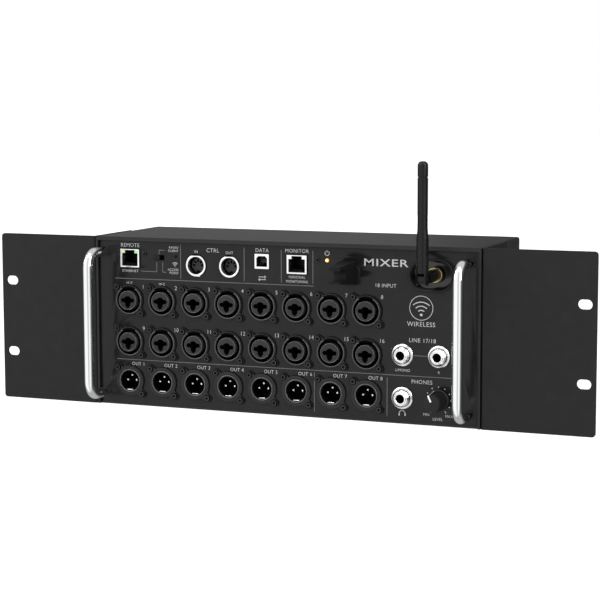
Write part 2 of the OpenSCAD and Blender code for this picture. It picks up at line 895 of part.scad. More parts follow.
module power_switch_frame() {
    color([0.06, 0.06, 0.06]) at([switch_x, switch_z]) difference() {
        union() {
            slab(body_d, body_d + 1.5) rounded(15.4, 24, 1.2);
            block([-6.5, 90, -10.5], [6.5, body_d + 1, 10.5]);
        }
        block([-5.5, 92, -9.6], [5.5, body_d + 3, 9.6]);
        translate([-7, rocker_pivot_y, 0]) rotate([0, 90, 0]) cylinder(r = stub_r + 0.05, h = 14);
    }
}

// Rocker with its lower half pressed in, turning on short stubs
module power_rocker() {
    color([0.06, 0.06, 0.06]) at([switch_x, switch_z]) translate([0, rocker_pivot_y, 0])
        rotate([rocker_deg, 0, 0]) {
            translate([-5.2, 0, 0]) rotate([0, 90, 0]) rotate([0, 0, 90]) linear_extrude(10.4)
                polygon([[-3, -5], [1.6, -9], [4.4, -9], [3.2, 0], [4.4, 9], [1.6, 9], [-3, 5]]);
            translate([-6.3, 0, 0]) rotate([0, 90, 0]) cylinder(r = stub_r, h = 12.6);
        }
}

// Boards that the sockets are soldered to: one behind the audio sockets, one behind the ports
module socket_boards() {
    color([0.08, 0.3, 0.18]) {
        block([-145, socket_back, -61], [80, socket_back + board_t, 31]);
        block([-140, port_back, 37], [28, port_back + board_t, 60]);
        block([84, jack_back, -58], [138, jack_back + board_t, -4]);
    }
}

module main_board() {
    color([0.08, 0.3, 0.18]) {
        block([-145, 36, board_z], [58, 100, board_z + board_t]);
        for (x = [-120, -80, -40, 0]) block([x, 60, board_z + board_t], [x + 20, 80, board_z + board_t + 2.5]);
        for (x = [-130:24:38]) translate([x, 92, board_z + board_t]) cylinder(r = 4, h = 11);
        block([-60, 38, board_z + board_t], [10, 44, board_z + board_t + 9]);
    }
}

module power_supply_board() {
    color([0.08, 0.3, 0.18]) {
        block([62, 38, board_z], [150, 84, board_z + board_t]);
        block([70, 46, board_z + board_t], [98, 74, board_z + board_t + 26]);
        for (y = [48, 64]) translate([112, y, board_z + board_t]) cylinder(r = 6.5, h = 24);
        block([126, 42, board_z + board_t], [130, 80, board_z + board_t + 30]);
    }
}

module board_standoffs() {
    color([0.7, 0.6, 0.3]) for (x = [-140, -45, 52, 67, 145], y = [42, 79])
        translate([x, y, -top_z + sheet]) cylinder(r = 3, h = board_z + top_z - sheet);
}

chassis_base();
top_cover();
rear_panel();
front_panel();
ear_left();
ear_right();
ear_screws();
cover_screws();
handle_left();
handle_right();
handle_bolts();
input_shells();
input_inserts();
output_shells();
output_pins();
output_ground_tabs();
connector_screws();
remote_port_shell();
remote_port_body();
remote_port_lamps();
monitor_port_shell();
monitor_port_body();
din_in_shell();
din_in_insert();
din_out_shell();
din_out_insert();
usb_shell();
usb_tongue();
mode_switch_body();
mode_switch_lever();
status_lamp();
power_lamp();
panel_screws();
line_jack_left();
line_jack_right();
phones_jack();
jack_nuts();
level_knob();
knob_pointer();
level_shaft();
level_pot();
level_nut();
antenna_cup();
antenna_connector();
antenna_nut();
antenna_coupling();
antenna_collar();
antenna_pin();
antenna_whip();
antenna_clip();
antenna_lead();
wireless_module();
mains_inlet();
inlet_blades();
power_switch_frame();
power_rocker();
socket_boards();
main_board();
power_supply_board();
board_standoffs();
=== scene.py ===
import math

import bmesh
import bpy
from mathutils import Matrix, Vector

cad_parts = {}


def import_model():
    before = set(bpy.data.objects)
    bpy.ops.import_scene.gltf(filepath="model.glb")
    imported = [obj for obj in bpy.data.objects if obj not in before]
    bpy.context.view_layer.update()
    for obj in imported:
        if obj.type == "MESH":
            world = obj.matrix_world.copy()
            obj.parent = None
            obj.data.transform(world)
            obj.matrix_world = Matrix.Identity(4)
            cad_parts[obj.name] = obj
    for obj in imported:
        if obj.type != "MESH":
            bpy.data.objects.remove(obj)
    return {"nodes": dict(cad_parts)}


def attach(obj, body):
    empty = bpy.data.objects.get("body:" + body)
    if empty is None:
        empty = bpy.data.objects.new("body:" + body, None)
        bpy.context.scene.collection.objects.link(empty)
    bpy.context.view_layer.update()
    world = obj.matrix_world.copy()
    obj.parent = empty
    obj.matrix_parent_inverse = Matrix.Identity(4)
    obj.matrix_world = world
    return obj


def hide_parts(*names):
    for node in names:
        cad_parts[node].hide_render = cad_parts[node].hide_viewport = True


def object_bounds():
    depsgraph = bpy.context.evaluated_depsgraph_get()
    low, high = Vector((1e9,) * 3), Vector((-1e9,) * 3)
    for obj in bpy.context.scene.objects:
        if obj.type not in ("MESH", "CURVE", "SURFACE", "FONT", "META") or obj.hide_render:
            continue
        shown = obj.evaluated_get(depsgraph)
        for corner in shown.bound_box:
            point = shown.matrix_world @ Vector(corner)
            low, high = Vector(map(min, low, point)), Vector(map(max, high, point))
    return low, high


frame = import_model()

# The looks of a rack-mount digital mixer with a swivelling antenna. Lengths are in
# millimetres in the CAD frame, and become metres where a mesh or a light is made.

bounds_after_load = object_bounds()
MM = 0.001
CREASE_DEG = 32
WELD = 0.002

# Front panel
PANEL_Y = 2.0
PANEL_BACK = 4.0
PANEL_HALF_W = 154.4
PANEL_LOW = -64.65
PANEL_HIGH = 63.05
INK_FRONT = PANEL_Y - 0.05
INK_BACK = PANEL_Y + 0.02

# Handles
HANDLE_X = 148.0
HANDLE_MID_Z = -0.35
HANDLE_SPAN = 110.5
HANDLE_BAR_Y = -29.5
HANDLE_BEND = 11.5
HANDLE_R = 4.0

# Audio sockets
COLUMNS = 8
COLUMN_X0 = -128.4
COLUMN_PITCH = 28.1
INPUT_ROWS_Z = (16.75, -15.95)
OUTPUT_Z = -46.75
FLANGE_R = 11.75
FLANGE_Y = 0.5
LUG_X = 10.3
LUG_Z = 10.1
LUG_R = 3.1
LUG_SINK_R = 2.6
LUG_HOLE_R = 1.5
INPUT_HOLE_R = 11.1
INPUT_GROOVE_R = 10.0
LATCH_HALF_ANGLE = 32
INSERT_R = 7.5
INSERT_FRONT = -2.0
INSERT_BACK = 22.0
OUTPUT_HOLE_R = 9.7
OUTPUT_BARREL_R = 9.6
OUTPUT_CUP_R = 8.1
OUTPUT_FLOOR = 16.5
PIN_R = 1.2
PIN_DOME_Y = 5.4
PIN_OFFSET = 3.9
SOCKET_BACK = 24.0
COLUMN_X = [COLUMN_X0 + i * COLUMN_PITCH for i in range(COLUMNS)]
INPUTS = [(x, z) for z in INPUT_ROWS_Z for x in COLUMN_X]
OUTPUTS = [(x, OUTPUT_Z) for x in COLUMN_X]

# Data ports and small fittings
PORT_W = 17.1
PORT_H = 14.5
PORT_FRONT = 1.2
PORT_BACK = 18.0
PORT_OPEN_W = 12.2
PORT_OPEN_LOW = -5.45
PORT_OPEN_HIGH = 3.55
PORT_KEY_W = 7.2
PORT_KEY_HIGH = 5.85
REMOTE_PORT = (-127.45, 49.6)
MONITOR_PORT = (12.65, 49.3)
DIN_IN = (-70.8, 45.7)
DIN_OUT = (-42.8, 45.8)
DIN_R = 8.4
DIN_BORE_R = 6.7
DIN_FLAT = 7.7
DIN_BED_R = 6.68
DIN_BOSS_R = 5.2
DIN_BOSS_BACK = 9.0
USB = (-15.8, 50.75)
USB_W = 11.9
USB_H = 11.4
USB_OPEN_W = 8.6
USB_OPEN_H = 7.9
MODE_SWITCH = (-102.2, 50.8)
MODE_SLOT_W = 8.7
MODE_SLOT_H = 3.9
PORT_LAMP_X = 5.5
PORT_LAMP_Z = 5.05
CONTACT_PITCH = 1.02
STATUS_LAMP = (-88.1, 52.1)
POWER_LAMP = (36.9, 53.2)
SMALL_SCREWS = [(-114.8, 53.15), (29.5, 53.25)]

# Jacks and knob
JACKS = [(96.3, -14.85), (124.5, -14.85), (96.3, -46.95)]
JACK_BORE_R = 3.25
JACK_HOLE_R = 4.6
KNOB_HOLE_R = 4.5
JACK_BUSH_R = 4.5
JACK_FRONT = -3.5
KNOB = (124.3, -46.85)
KNOB_FRONT = -15.0
KNOB_R = 8.2
KNOB_FACE_R = 6.3
KNOB_REST_DEG = 25.0

# Antenna
CUP = (118.1, 44.7)
CUP_W = 31.4
CUP_H = 20.8
CUP_WALL = 1.1
CUP_FLOOR = 10.8
CUP_BACK = 12.0
ANTENNA = (119.6, 44.8)
CLIP = (54.8, 44.8)
CLIP_HOLE_R = 2.2

# Signs on the panel
WAVES_SMALL = (-88.8, 44.4)
WAVES_LARGE = (110.7, 15.6)
WAVES_RING = (110.7, 20.6)
POWER_SIGN_Z = 58.6
PHONES_SIGN = (96.3, -58.6)
TICK_R = 9.7
INK_LINE = 0.45

# The photograph's camera, in degrees, metres and millimetres of lens
CAMERA_AZIMUTH = 21.86
CAMERA_ELEVATION = 6.68
CAMERA_ROLL = -0.125
CAMERA_PLACE = (0.51268, -1.23839, 0.17915)
CAMERA_LENS = 107.4


# Shapes

class Shape:
    """Points in millimetres, faces, and the number of each face's material."""

    def __init__(self):
        self.points = []
        self.faces = []
        self.finish = []

    def add(self, points, faces, finish=0):
        first = len(self.points)
        self.points += [tuple(p) for p in points]
        self.faces += [tuple(first + i for i in face) for face in faces]
        self.finish += [finish] * len(faces)
        return self

    def stamp(self, other, place=(0, 0), y=0.0):
        first = len(self.points)
        self.points += [(p[0] + place[0], p[1] + y, p[2] + place[1]) for p in other.points]
        self.faces += [tuple(first + i for i in face) for face in other.faces]
        self.finish += other.finish
        return self

    def rotated(self, degrees):
        """The same shape turned round the Y axis, from +X towards +Z."""
        c = math.cos(math.radians(degrees))
        s = math.sin(math.radians(degrees))
        other = Shape()
        other.points = [(c * x - s * z, y, s * x + c * z) for x, y, z in self.points]
        other.faces = list(self.faces)
        other.finish = list(self.finish)
        return other


def darkened(shape, radius):
    """Gives the walls of a hole near the axis the second material, a darker one: painted shade in the
    hole.
    """
    for i, face in enumerate(shape.faces):
        corners = [Vector(shape.points[j]) for j in face]
        normal = (corners[1] - corners[0]).cross(corners[2] - corners[1]).normalized()
        if abs(normal.y) < 0.7 and max(math.hypot(c.x, c.z) for c in corners) < radius:
            shape.finish[i] = 1
    return shape


def joined(*shapes):
    whole = Shape()
    for shape in shapes:
        whole.stamp(shape)
    return whole


def arc(radius, start, end, steps, centre=(0, 0)):
    """Points of a circular arc in the X-Z plane, in degrees from +X towards +Z."""
    turns = [math.radians(start + (end - start) * i / steps) for i in range(steps + 1)]
    return [(centre[0] + radius * math.cos(t), centre[1] + radius * math.sin(t)) for t in turns]


def circle(radius, steps=48, centre=(0, 0)):
    return arc(radius, 0, 360, steps, centre)[:-1]


def rounded_box(width, height, radius, centre=(0, 0), steps=6):
    points = []
    for quarter, (sx, sz) in enumerate([(1, 1), (-1, 1), (-1, -1), (1, -1)]):
        corner = (centre[0] + sx * (width / 2 - radius), centre[1] + sz * (height / 2 - radius))
        points += arc(radius, 90 * quarter, 90 * quarter + 90, steps, corner)
    return points


def stadium(width, height, centre=(0, 0), steps=24):
    half = (width - height) / 2
    right = arc(height / 2, -90, 90, steps, (centre[0] + half, centre[1]))
    left = arc(height / 2, 90, 270, steps, (centre[0] - half, centre[1]))
    return right + left


def radial(radius_at, steps):
    """A star-shaped outline from a function of the angle in degrees."""
    turns = [360 * i / steps for i in range(steps)]
    return [
        (radius_at(t) * math.cos(math.radians(t)), radius_at(t) * math.sin(math.radians(t)))
        for t in turns
    ]


def lobe(angle, towards, distance, radius):
    """How far a circle at that distance and direction reaches along an angle."""
    off = math.radians(angle - towards)
    room = radius**2 - (distance * math.sin(off)) ** 2
    if room < 0 or math.cos(off) < 0:
        return 0.0
    return distance * math.cos(off) + math.sqrt(room)


def turned(profile, steps=48, span=None, finish=0):
    """Turns [radius, y] points round the Y axis: a closed loop, or a line from axis to axis."""
    loop = profile[0][0] > 0
    start, end = span or (0, 360)
    count = steps + 1 if span else steps
    turns = [math.radians(start + (end - start) * i / steps) for i in range(count)]
    points = []
    rows = []
    for radius, y in profile:
        if radius == 0:
            rows.append([len(points)] * count)
            points.append((0, y, 0))
            continue
        rows.append(list(range(len(points), len(points) + count)))
        points += [(radius * math.cos(t), y, radius * math.sin(t)) for t in turns]
    faces = []
    for a, b in zip(rows, rows[1:] + rows[:1] if loop else rows[1:]):
        for i in range(steps):
            j = (i + 1) % count
            face = list(dict.fromkeys([a[i], a[j], b[j], b[i]]))
            if len(face) > 2:
                faces.append(face)
    if span and loop:
        faces.append([row[0] for row in rows])
        faces.append([row[-1] for row in reversed(rows)])
    return Shape().add(points, faces, finish)


def loft(rings, finish=0, closed=False):
    """Joins [(y, outline)] rings with equally many points, and caps the two ends."""
    points = []
    rows = []
    for y, outline in rings:
        rows.append(list(range(len(points), len(points) + len(outline))))
        points += [(x, y, z) for x, z in outline]
    faces = []
    for a, b in zip(rows, rows[1:] + rows[:1] if closed else rows[1:]):
        for i in range(len(a)):
            j = (i + 1) % len(a)
            faces.append([a[i], a[j], b[j], b[i]])
    if not closed:
        faces += [rows[0], rows[-1][::-1]]
    return Shape().add(points, faces, finish)


def from_curve(curve, y, finish=0):
    """A filled curve as a shape that faces -Y, with its middle at y."""
    holder = bpy.data.objects.new("holder", curve)
    bpy.context.scene.collection.objects.link(holder)
    bpy.context.view_layer.update()
    graph = bpy.context.evaluated_depsgraph_get()
    mesh = bpy.data.meshes.new_from_object(holder.evaluated_get(graph))
    work = bmesh.new()
    work.from_mesh(mesh)
    bmesh.ops.remove_doubles(work, verts=work.verts, dist=WELD)
    work.verts.index_update()
    points = [(v.co.x, y - v.co.z, v.co.y) for v in work.verts]
    faces = [[v.index for v in face.verts] for face in work.faces]
    work.free()
    bpy.data.objects.remove(holder)
    bpy.data.meshes.remove(mesh)
    bpy.data.curves.remove(curve)
    return Shape().add(points, faces, finish)


def sheet(outline, holes, front, back, bevel=0.0, finish=0):
    """A flat plate between y = front and y = back, with holes and eased edges."""
    curve = bpy.data.curves.new("outline", "CURVE")
    curve.dimensions = "2D"
    curve.fill_mode = "BOTH"
    curve.extrude = (back - front) / 2 - bevel
    curve.bevel_depth = bevel
    curve.bevel_resolution = 1
    curve.offset = -bevel
    for loop in [outline, *holes]:
        spline = curve.splines.new("POLY")
        spline.points.add(len(loop) - 1)
        for point, (x, z) in zip(spline.points, loop):
            point.co = (x, z, 0, 1)
        spline.use_cyclic_u = True
    return from_curve(curve, (front + back) / 2, finish)


def block(low, high, ease=0.2, finish=0):
    """A box between two corners with eased edges along Y."""
    centre = ((low[0] + high[0]) / 2, (low[2] + high[2]) / 2)
    width = high[0] - low[0]
    height = high[2] - low[2]
    inner = rounded_box(width - 2 * ease, height - 2 * ease, ease / 2, centre, 3)
    outer = rounded_box(width, height, ease, centre, 3)
    rings = [(low[1], inner), (low[1] + ease, outer), (high[1] - ease, outer), (high[1], inner)]
    return loft(rings, finish)


# Pieces and materials

def make(name, shape, materials, nodes=(), body="chassis", crease=CREASE_DEG):
    """A piece of the object from a shape, riding on a CAD body."""
    mesh = bpy.data.meshes.new(name)
    mesh.from_pydata([[c * MM for c in p] for p in shape.points], [], shape.faces)
    for material in materials:
        mesh.materials.append(material)
    mesh.polygons.foreach_set("material_index", shape.finish)
    work = bmesh.new()
    work.from_mesh(mesh)
    bmesh.ops.recalc_face_normals(work, faces=work.faces)
    for face in work.faces:
        face.smooth = True
    work.to_mesh(mesh)
    work.free()
    mesh.set_sharp_from_angle(angle=math.radians(crease))
    piece = bpy.data.objects.new(name, mesh)
    bpy.context.scene.collection.objects.link(piece)
    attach(piece, body)
    if nodes:
        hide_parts(*nodes)
    return piece


def dress(node, material, bevel):
    """Gives a CAD node its finish and eased edges, or flat faces where the bevel is 0."""
    piece = frame["nodes"][node]
    piece.data.materials.clear()
    piece.data.materials.append(material)
    piece.data.polygons.foreach_set("material_index", [0] * len(piece.data.polygons))
    piece.data.polygons.foreach_set("use_smooth", [bevel > 0] * len(piece.data.polygons))
    if "custom_normal" in piece.data.attributes:
        piece.data.attributes.remove(piece.data.attributes["custom_normal"])
    if bevel == 0:
        return
    weld = piece.modifiers.new("weld", "WELD")
    weld.merge_threshold = 0.01 * MM
    ease = piece.modifiers.new("ease", "BEVEL")
    ease.width = bevel * MM
    ease.segments = 2
    ease.limit_method = "ANGLE"
    ease.angle_limit = math.radians(CREASE_DEG)
    ease.harden_normals = True
    ease.use_clamp_overlap = True


def surface(name, colour, roughness, metal=0.0, grain=900, bump=0.1, mottle=0.12, coat=0.0,
            specular=0.5):
    """A finish whose grain sets its roughness, its relief and a slight change of colour."""
    material = bpy.data.materials.new(name)
    material.use_nodes = True
    nodes = material.node_tree.nodes
    links = material.node_tree.links
    shader = nodes["Principled BSDF"]
    shader.inputs["Metallic"].default_value = metal
    shader.inputs["Specular IOR Level"].default_value = specular
    shader.inputs["Coat Weight"].default_value = coat
    shader.inputs["Coat Roughness"].default_value = 0.12
    place = nodes.new("ShaderNodeTexCoord")
    fine = nodes.new("ShaderNodeTexNoise")
    fine.inputs["Scale"].default_value = grain
    fine.inputs["Detail"].default_value = 4
    links.new(place.outputs["Object"], fine.inputs["Vector"])
    spread = nodes.new("ShaderNodeMapRange")
    spread.inputs["From Min"].default_value = 0.25
    spread.inputs["From Max"].default_value = 0.75
    spread.inputs["To Min"].default_value = roughness[0]
    spread.inputs["To Max"].default_value = roughness[1]
    links.new(fine.outputs["Fac"], spread.inputs["Value"])
    links.new(spread.outputs["Result"], shader.inputs["Roughness"])
    relief = nodes.new("ShaderNodeBump")
    relief.inputs["Strength"].default_value = bump
    relief.inputs["Distance"].default_value = 0.1 * MM
    links.new(fine.outputs["Fac"], relief.inputs["Height"])
    links.new(relief.outputs["Normal"], shader.inputs["Normal"])
    broad = nodes.new("ShaderNodeTexNoise")
    broad.inputs["Scale"].default_value = grain / 14
    links.new(place.outputs["Object"], broad.inputs["Vector"])
    tint = nodes.new("ShaderNodeValToRGB")
    tint.color_ramp.elements[0].position = 0.3
    tint.color_ramp.elements[0].color = (*[c * (1 - mottle) for c in colour], 1)
    tint.color_ramp.elements[1].position = 0.7
    tint.color_ramp.elements[1].color = (*[min(1, c * (1 + mottle)) for c in colour], 1)
    links.new(broad.outputs["Fac"], tint.inputs["Fac"])
    links.new(tint.outputs["Color"], shader.inputs["Base Color"])
    return material


def glowing(material, colour, strength):
    shader = material.node_tree.nodes["Principled BSDF"]
    shader.inputs["Emission Color"].default_value = (*colour, 1)
    shader.inputs["Emission Strength"].default_value = strength
    return material


def grey(level):
    return (level, level, level)


COVER_COLOUR = (0.012, 0.012, 0.0125)
PANEL_COLOUR = (0.0095, 0.0095, 0.0098)
COVER_PAINT = surface("cover_paint", COVER_COLOUR, (0.4, 0.52), grain=1500, bump=0.3, specular=0.3)
PANEL_PAINT = surface("panel_paint", PANEL_COLOUR, (0.15, 0.21), grain=1500, bump=0.1, specular=0.22)
EAR_PAINT = surface("ear_paint", PANEL_COLOUR, (0.46, 0.6), grain=1500, bump=0.25, specular=0.22)
REAR_PAINT = surface("rear_paint", COVER_COLOUR, (0.42, 0.55), grain=1500, bump=0.3, specular=0.3)
CHROME = surface("chrome", (0.86, 0.87, 0.88), (0.03, 0.07), metal=1, grain=260, bump=0.004, mottle=0.02)
NUT_CHROME = surface("nut_chrome", grey(0.9), (0.24, 0.32), metal=1, grain=500, bump=0.02, mottle=0.03)
TIN = surface("tinned_steel", grey(0.92), (0.16, 0.24), metal=1, grain=600, bump=0.02, mottle=0.03)
ZINC = surface("zinc_steel", (0.45, 0.46, 0.47), (0.3, 0.45), metal=1, grain=420, bump=0.05, mottle=0.1)
BRASS = surface("brass", (0.62, 0.48, 0.2), (0.22, 0.34), metal=1, grain=420, bump=0.04, mottle=0.08)
GOLD = surface("gold_plate", (0.34, 0.28, 0.12), (0.1, 0.2), metal=1, grain=420, bump=0.03, mottle=0.08)
SILVER = surface("silver_contact", (0.8, 0.79, 0.75), (0.12, 0.25), metal=1, grain=420,
                 bump=0.03, mottle=0.05)
SOCKET_BLACK = surface("socket_black", grey(0.009), (0.32, 0.44), grain=1900, bump=0.15, specular=0.3)
# Glossy black for the socket rims, with a base colour lighter than the socket black: real gloss plus a
# painted highlight.
SOCKET_RIM_PAINTED_HIGHLIGHT = surface("socket_rim_painted_highlight", grey(0.03), (0.16, 0.24), grain=1900, bump=0.05, specular=1.0)
INSERT_GREY = surface("insert_grey", grey(0.013), (0.32, 0.44), grain=1900, bump=0.15, specular=0.35)
# Near-black for the insides of holes, cups, grooves and screw recesses in black parts that are one colour
# throughout: painted shade.
PAINTED_SHADE_BLACK = surface("painted_shade_black", grey(0.0015), (0.6, 0.75), grain=1900, bump=0.1, specular=0.08)
SCREW_BLACK = surface("screw_black", grey(0.045), (0.16, 0.24), metal=1, grain=900, bump=0.06)
PORT_BLACK = surface("port_black", grey(0.005), (0.4, 0.52), grain=1600, bump=0.1, specular=0.25)
LEVER_GREY = surface("lever_grey", grey(0.005), (0.36, 0.48), grain=1600, bump=0.12, specular=0.35)
KNOB_BLACK = surface("knob_black", grey(0.009), (0.38, 0.5), grain=2000, bump=0.2, specular=0.25)
CUP_BLACK = surface("cup_black", grey(0.007), (0.14, 0.2), grain=1700, bump=0.04, specular=0.6)
WHIP_BLACK = surface("whip_black", grey(0.004), (0.26, 0.34), grain=2000, bump=0.08, specular=0.26)
CLIP_BLACK = surface("clip_black", grey(0.006), (0.46, 0.6), grain=2000, bump=0.2, specular=0.15)
LEAD_BLACK = surface("lead_black", grey(0.012), (0.45, 0.6), grain=1200, bump=0.1)
JACK_PLASTIC = surface("jack_plastic", grey(0.012), (0.4, 0.5), grain=1600, bump=0.1)
BOARD_GREEN = surface("board_green", (0.012, 0.07, 0.035), (0.3, 0.42), grain=700, bump=0.08, mottle=0.2)
INK_WHITE = surface("ink_white", grey(0.42), (0.5, 0.65), grain=1600, bump=0.05, mottle=0.08)
INK_GREY = surface("ink_grey", grey(0.105), (0.5, 0.65), grain=1600, bump=0.05, mottle=0.08)
POINTER_WHITE = surface("pointer_white", grey(0.8), (0.4, 0.5), grain=1600, bump=0.05, mottle=0.03)
STATUS_LENS = surface("status_lens", grey(0.002), (0.3, 0.4), grain=500, bump=0.01, specular=0.1)
YELLOW_LENS = glowing(
    surface("yellow_lens", (0.5, 0.55, 0.12), (0.15, 0.25), grain=500, bump=0.02, coat=0.3),
    (0.62, 0.68, 0.2), 0.35)
GREEN_LENS = glowing(
    surface("green_lens", (0.12, 0.6, 0.2), (0.15, 0.25), grain=500, bump=0.02, coat=0.3),
    (0.08, 0.75, 0.22), 0.5)
AMBER_LENS = glowing(
    surface("amber_lens", (0.9, 0.4, 0.06), (0.1, 0.18), grain=500, bump=0.01, coat=0.5),
    (1.0, 0.36, 0.05), 1.1)
AMBER_CORE = glowing(
    surface("amber_core", (1.0, 0.8, 0.5), (0.1, 0.2), grain=500, bump=0.01),
    (1.0, 0.8, 0.5), 2.0)


# Front panel and handles

def lug_spots(place):
    """The two diagonal screw places of a socket."""
    return [(place[0] - LUG_X, place[1] + LUG_Z), (place[0] + LUG_X, place[1] - LUG_Z)]


def box_hole(place, width, height, radius=0.4):
    return rounded_box(width, height, radius, place, 3)


def front_panel():
    holes = [circle(INPUT_HOLE_R, 48, p) for p in INPUTS]
    holes += [circle(OUTPUT_HOLE_R, 48, p) for p in OUTPUTS]
    holes += [circle(LUG_HOLE_R, 16, s) for p in INPUTS + OUTPUTS for s in lug_spots(p)]
    holes += [box_hole(p, PORT_W + 0.6, PORT_H + 0.6) for p in (REMOTE_PORT, MONITOR_PORT)]
    holes += [circle(DIN_R + 0.4, 48, p) for p in (DIN_IN, DIN_OUT)]
    holes.append(box_hole(USB, USB_W + 0.6, USB_H + 0.6))
    holes.append(box_hole(MODE_SWITCH, MODE_SLOT_W, MODE_SLOT_H))
    holes += [circle(1.05, 20, STATUS_LAMP), circle(1.5, 24, POWER_LAMP)]
    holes += [circle(1, 16, p) for p in SMALL_SCREWS]
    holes += [circle(JACK_HOLE_R, 32, p) for p in JACKS]
    holes += [circle(KNOB_HOLE_R, 32, KNOB), circle(CLIP_HOLE_R, 24, CLIP)]
    holes.append(stadium(CUP_W + 2 * CUP_WALL + 0.2, CUP_H + 2 * CUP_WALL + 0.2, CUP))
    holes += [
        circle(2.2, 24, (sx * HANDLE_X, HANDLE_MID_Z + sz * HANDLE_SPAN / 2))
        for sx in (-1, 1)
        for sz in (-1, 1)
    ]
    centre = (0, (PANEL_LOW + PANEL_HIGH) / 2)
    outline = rounded_box(2 * PANEL_HALF_W, PANEL_HIGH - PANEL_LOW, 0.8, centre, 4)
    plate = sheet(outline, holes, PANEL_Y, PANEL_BACK, 0.15)
    make("panel_sheet", plate, [PANEL_PAINT], ["front_panel"])


def handle_path():
    """Points (y, z, heading) along the bar of a handle, from the lower leg to the upper one."""
    half = HANDLE_SPAN / 2
    corner_y = HANDLE_BAR_Y + HANDLE_BEND
    path = [(PANEL_Y, -half, 180), (PANEL_Y - 0.5, -half, 180), (corner_y, -half, 180)]
    steps = 10
    for i in range(1, steps):
        t = 90 * i / steps
        a = math.radians(t)
        y = corner_y - HANDLE_BEND * math.sin(a)
        path.append((y, -half + HANDLE_BEND * (1 - math.cos(a)), 180 - t))
    lift = half - HANDLE_BEND
    path += [(HANDLE_BAR_Y, -lift + 2 * lift * i / 12, 90) for i in range(13)]
    for i in range(1, steps):
        t = 90 * i / steps
        a = math.radians(t)
        path.append((corner_y - HANDLE_BEND * math.cos(a), lift + HANDLE_BEND * math.sin(a), 90 - t))
    path += [(corner_y, half, 0), (PANEL_Y - 0.5, half, 0), (PANEL_Y, half, 0)]
    return path


def bent_bar(path, radius, steps=40):
    points = []
    rows = []
    for y, z, heading in path:
        h = math.radians(heading)
        across = (-math.sin(h), math.cos(h))
        rows.append(list(range(len(points), len(points) + steps)))
        for i in range(steps):
            a = 2 * math.pi * i / steps
            lift = radius * math.sin(a)
            points.append((radius * math.cos(a), y + lift * across[0], z + lift * across[1]))
    faces = [rows[0], rows[-1][::-1]]
    for a, b in zip(rows, rows[1:]):
        faces += [[a[i], a[(i + 1) % steps], b[(i + 1) % steps], b[i]] for i in range(steps)]
    return Shape().add(points, faces)


def handles():
    bar = bent_bar(handle_path(), HANDLE_R)
    for side, x in (("left", -HANDLE_X), ("right", HANDLE_X)):
        shape = Shape().stamp(bar, (x, HANDLE_MID_Z))
        make(f"handle_bar_{side}", shape, [CHROME], [f"handle_{side}"])


# Audio sockets

def lug_reach(angle, extra):
    """Outline of a socket flange: a disc with a screw lug at the upper left and one at the lower right."""
    distance = math.hypot(LUG_X, LUG_Z)
    towards = math.degrees(math.atan2(LUG_Z, -LUG_X))
    reach = FLANGE_R + extra
    for direction in (towards, towards - 180):
        off = (angle - direction + 180) % 360 - 180
        if abs(off) >= 90:
            continue
        neck = (LUG_R + extra) / max(abs(math.sin(math.radians(off))), 1e-6)
        tip = lobe(angle, direction, distance, LUG_R + extra)
        along = min(neck, distance / math.cos(math.radians(off)))
        reach = max(reach, tip, along)
    return reach


def flange(hole_r):
    outline = radial(lambda a: lug_reach(a, 0), 180)
    lug_holes = [circle(LUG_SINK_R, 24, s) for s in lug_spots((0, 0))]
    return sheet(outline, [circle(hole_r, 48), *lug_holes], FLANGE_Y, PANEL_Y, 0.3)


def lip(inner, outer, front, back, span=None, steps=48, finish=0):
    """A raised ring with a half-round front edge."""
    middle = (inner + outer) / 2
    half = (outer - inner) / 2
    crown = [
        (middle - half * math.cos(math.radians(a)), front + half * (1 - math.sin(math.radians(a))))
        for a in range(0, 181, 20)
    ]
    return turned([(inner, back), *crown, (outer, back)], steps, span, finish)


def input_shell():
    """Flange, a raised lip that stops at the latch window, and the deep groove."""
    outer = INPUT_GROOVE_R + 1
    body = flange(outer - 0.1)
    round_the_lip = (90 + LATCH_HALF_ANGLE, 450 - LATCH_HALF_ANGLE)
    # The lip takes the third material, a painted highlight.
    body.stamp(lip(INPUT_GROOVE_R, outer, -0.2, 1.9, round_the_lip, 56, 2))
    # The groove and the barrel take the second material, painted shade.
    barrel = [(0, INSERT_BACK), (INPUT_GROOVE_R, INSERT_BACK), (INPUT_GROOVE_R, 1.2),
              (outer, 1.2), (outer, SOCKET_BACK), (0, SOCKET_BACK)]
    body.stamp(turned(barrel, 48, None, 1))
    # The latch window takes the second material, painted shade.
    latch = [(8.9, 2.6), (8.9, 7), (9.9, 7), (9.9, 1.6), (9.5, 1.4)]
    half = LATCH_HALF_ANGLE - 8
    body.stamp(turned(latch, 12, (90 - half, 90 + half), 1))
    return body


def clover(angle):
    """Jack bore with the three contact ways that open into it."""
    sides = max(lobe(angle, 0, 4.0, 1.6), lobe(angle, 180, 4.0, 1.6))
    below = max(lobe(angle, 270, 4.4, 1.5), lobe(angle, 270, 3.2, 2.2))
    return max(JACK_BORE_R, sides, below)


def input_insert():
    face_back = 3.0
    face = sheet(circle(7.3, 64), [radial(clover, 96)], INSERT_FRONT + 0.25, face_back, 0.3)
    # The rim takes the third material, a painted highlight.
    rim = lip(6.9, INSERT_R, INSERT_FRONT, face_back, None, 48, 2)
    # The bore and the stop take the second material, painted shade.
    tube = [(JACK_BORE_R, face_back), (INSERT_R, face_back),
            (INSERT_R, INSERT_BACK), (JACK_BORE_R, INSERT_BACK)]
    bore = turned(tube, 40, None, 1)
    stop = turned([(0, 20.8), (3.3, 20.8), (3.3, 21.9), (0, 21.9)], 24, None, 1)
    # The walls of the face's holes take the second material, painted shade.
    return joined(darkened(face, 6.4), rim, bore, stop)


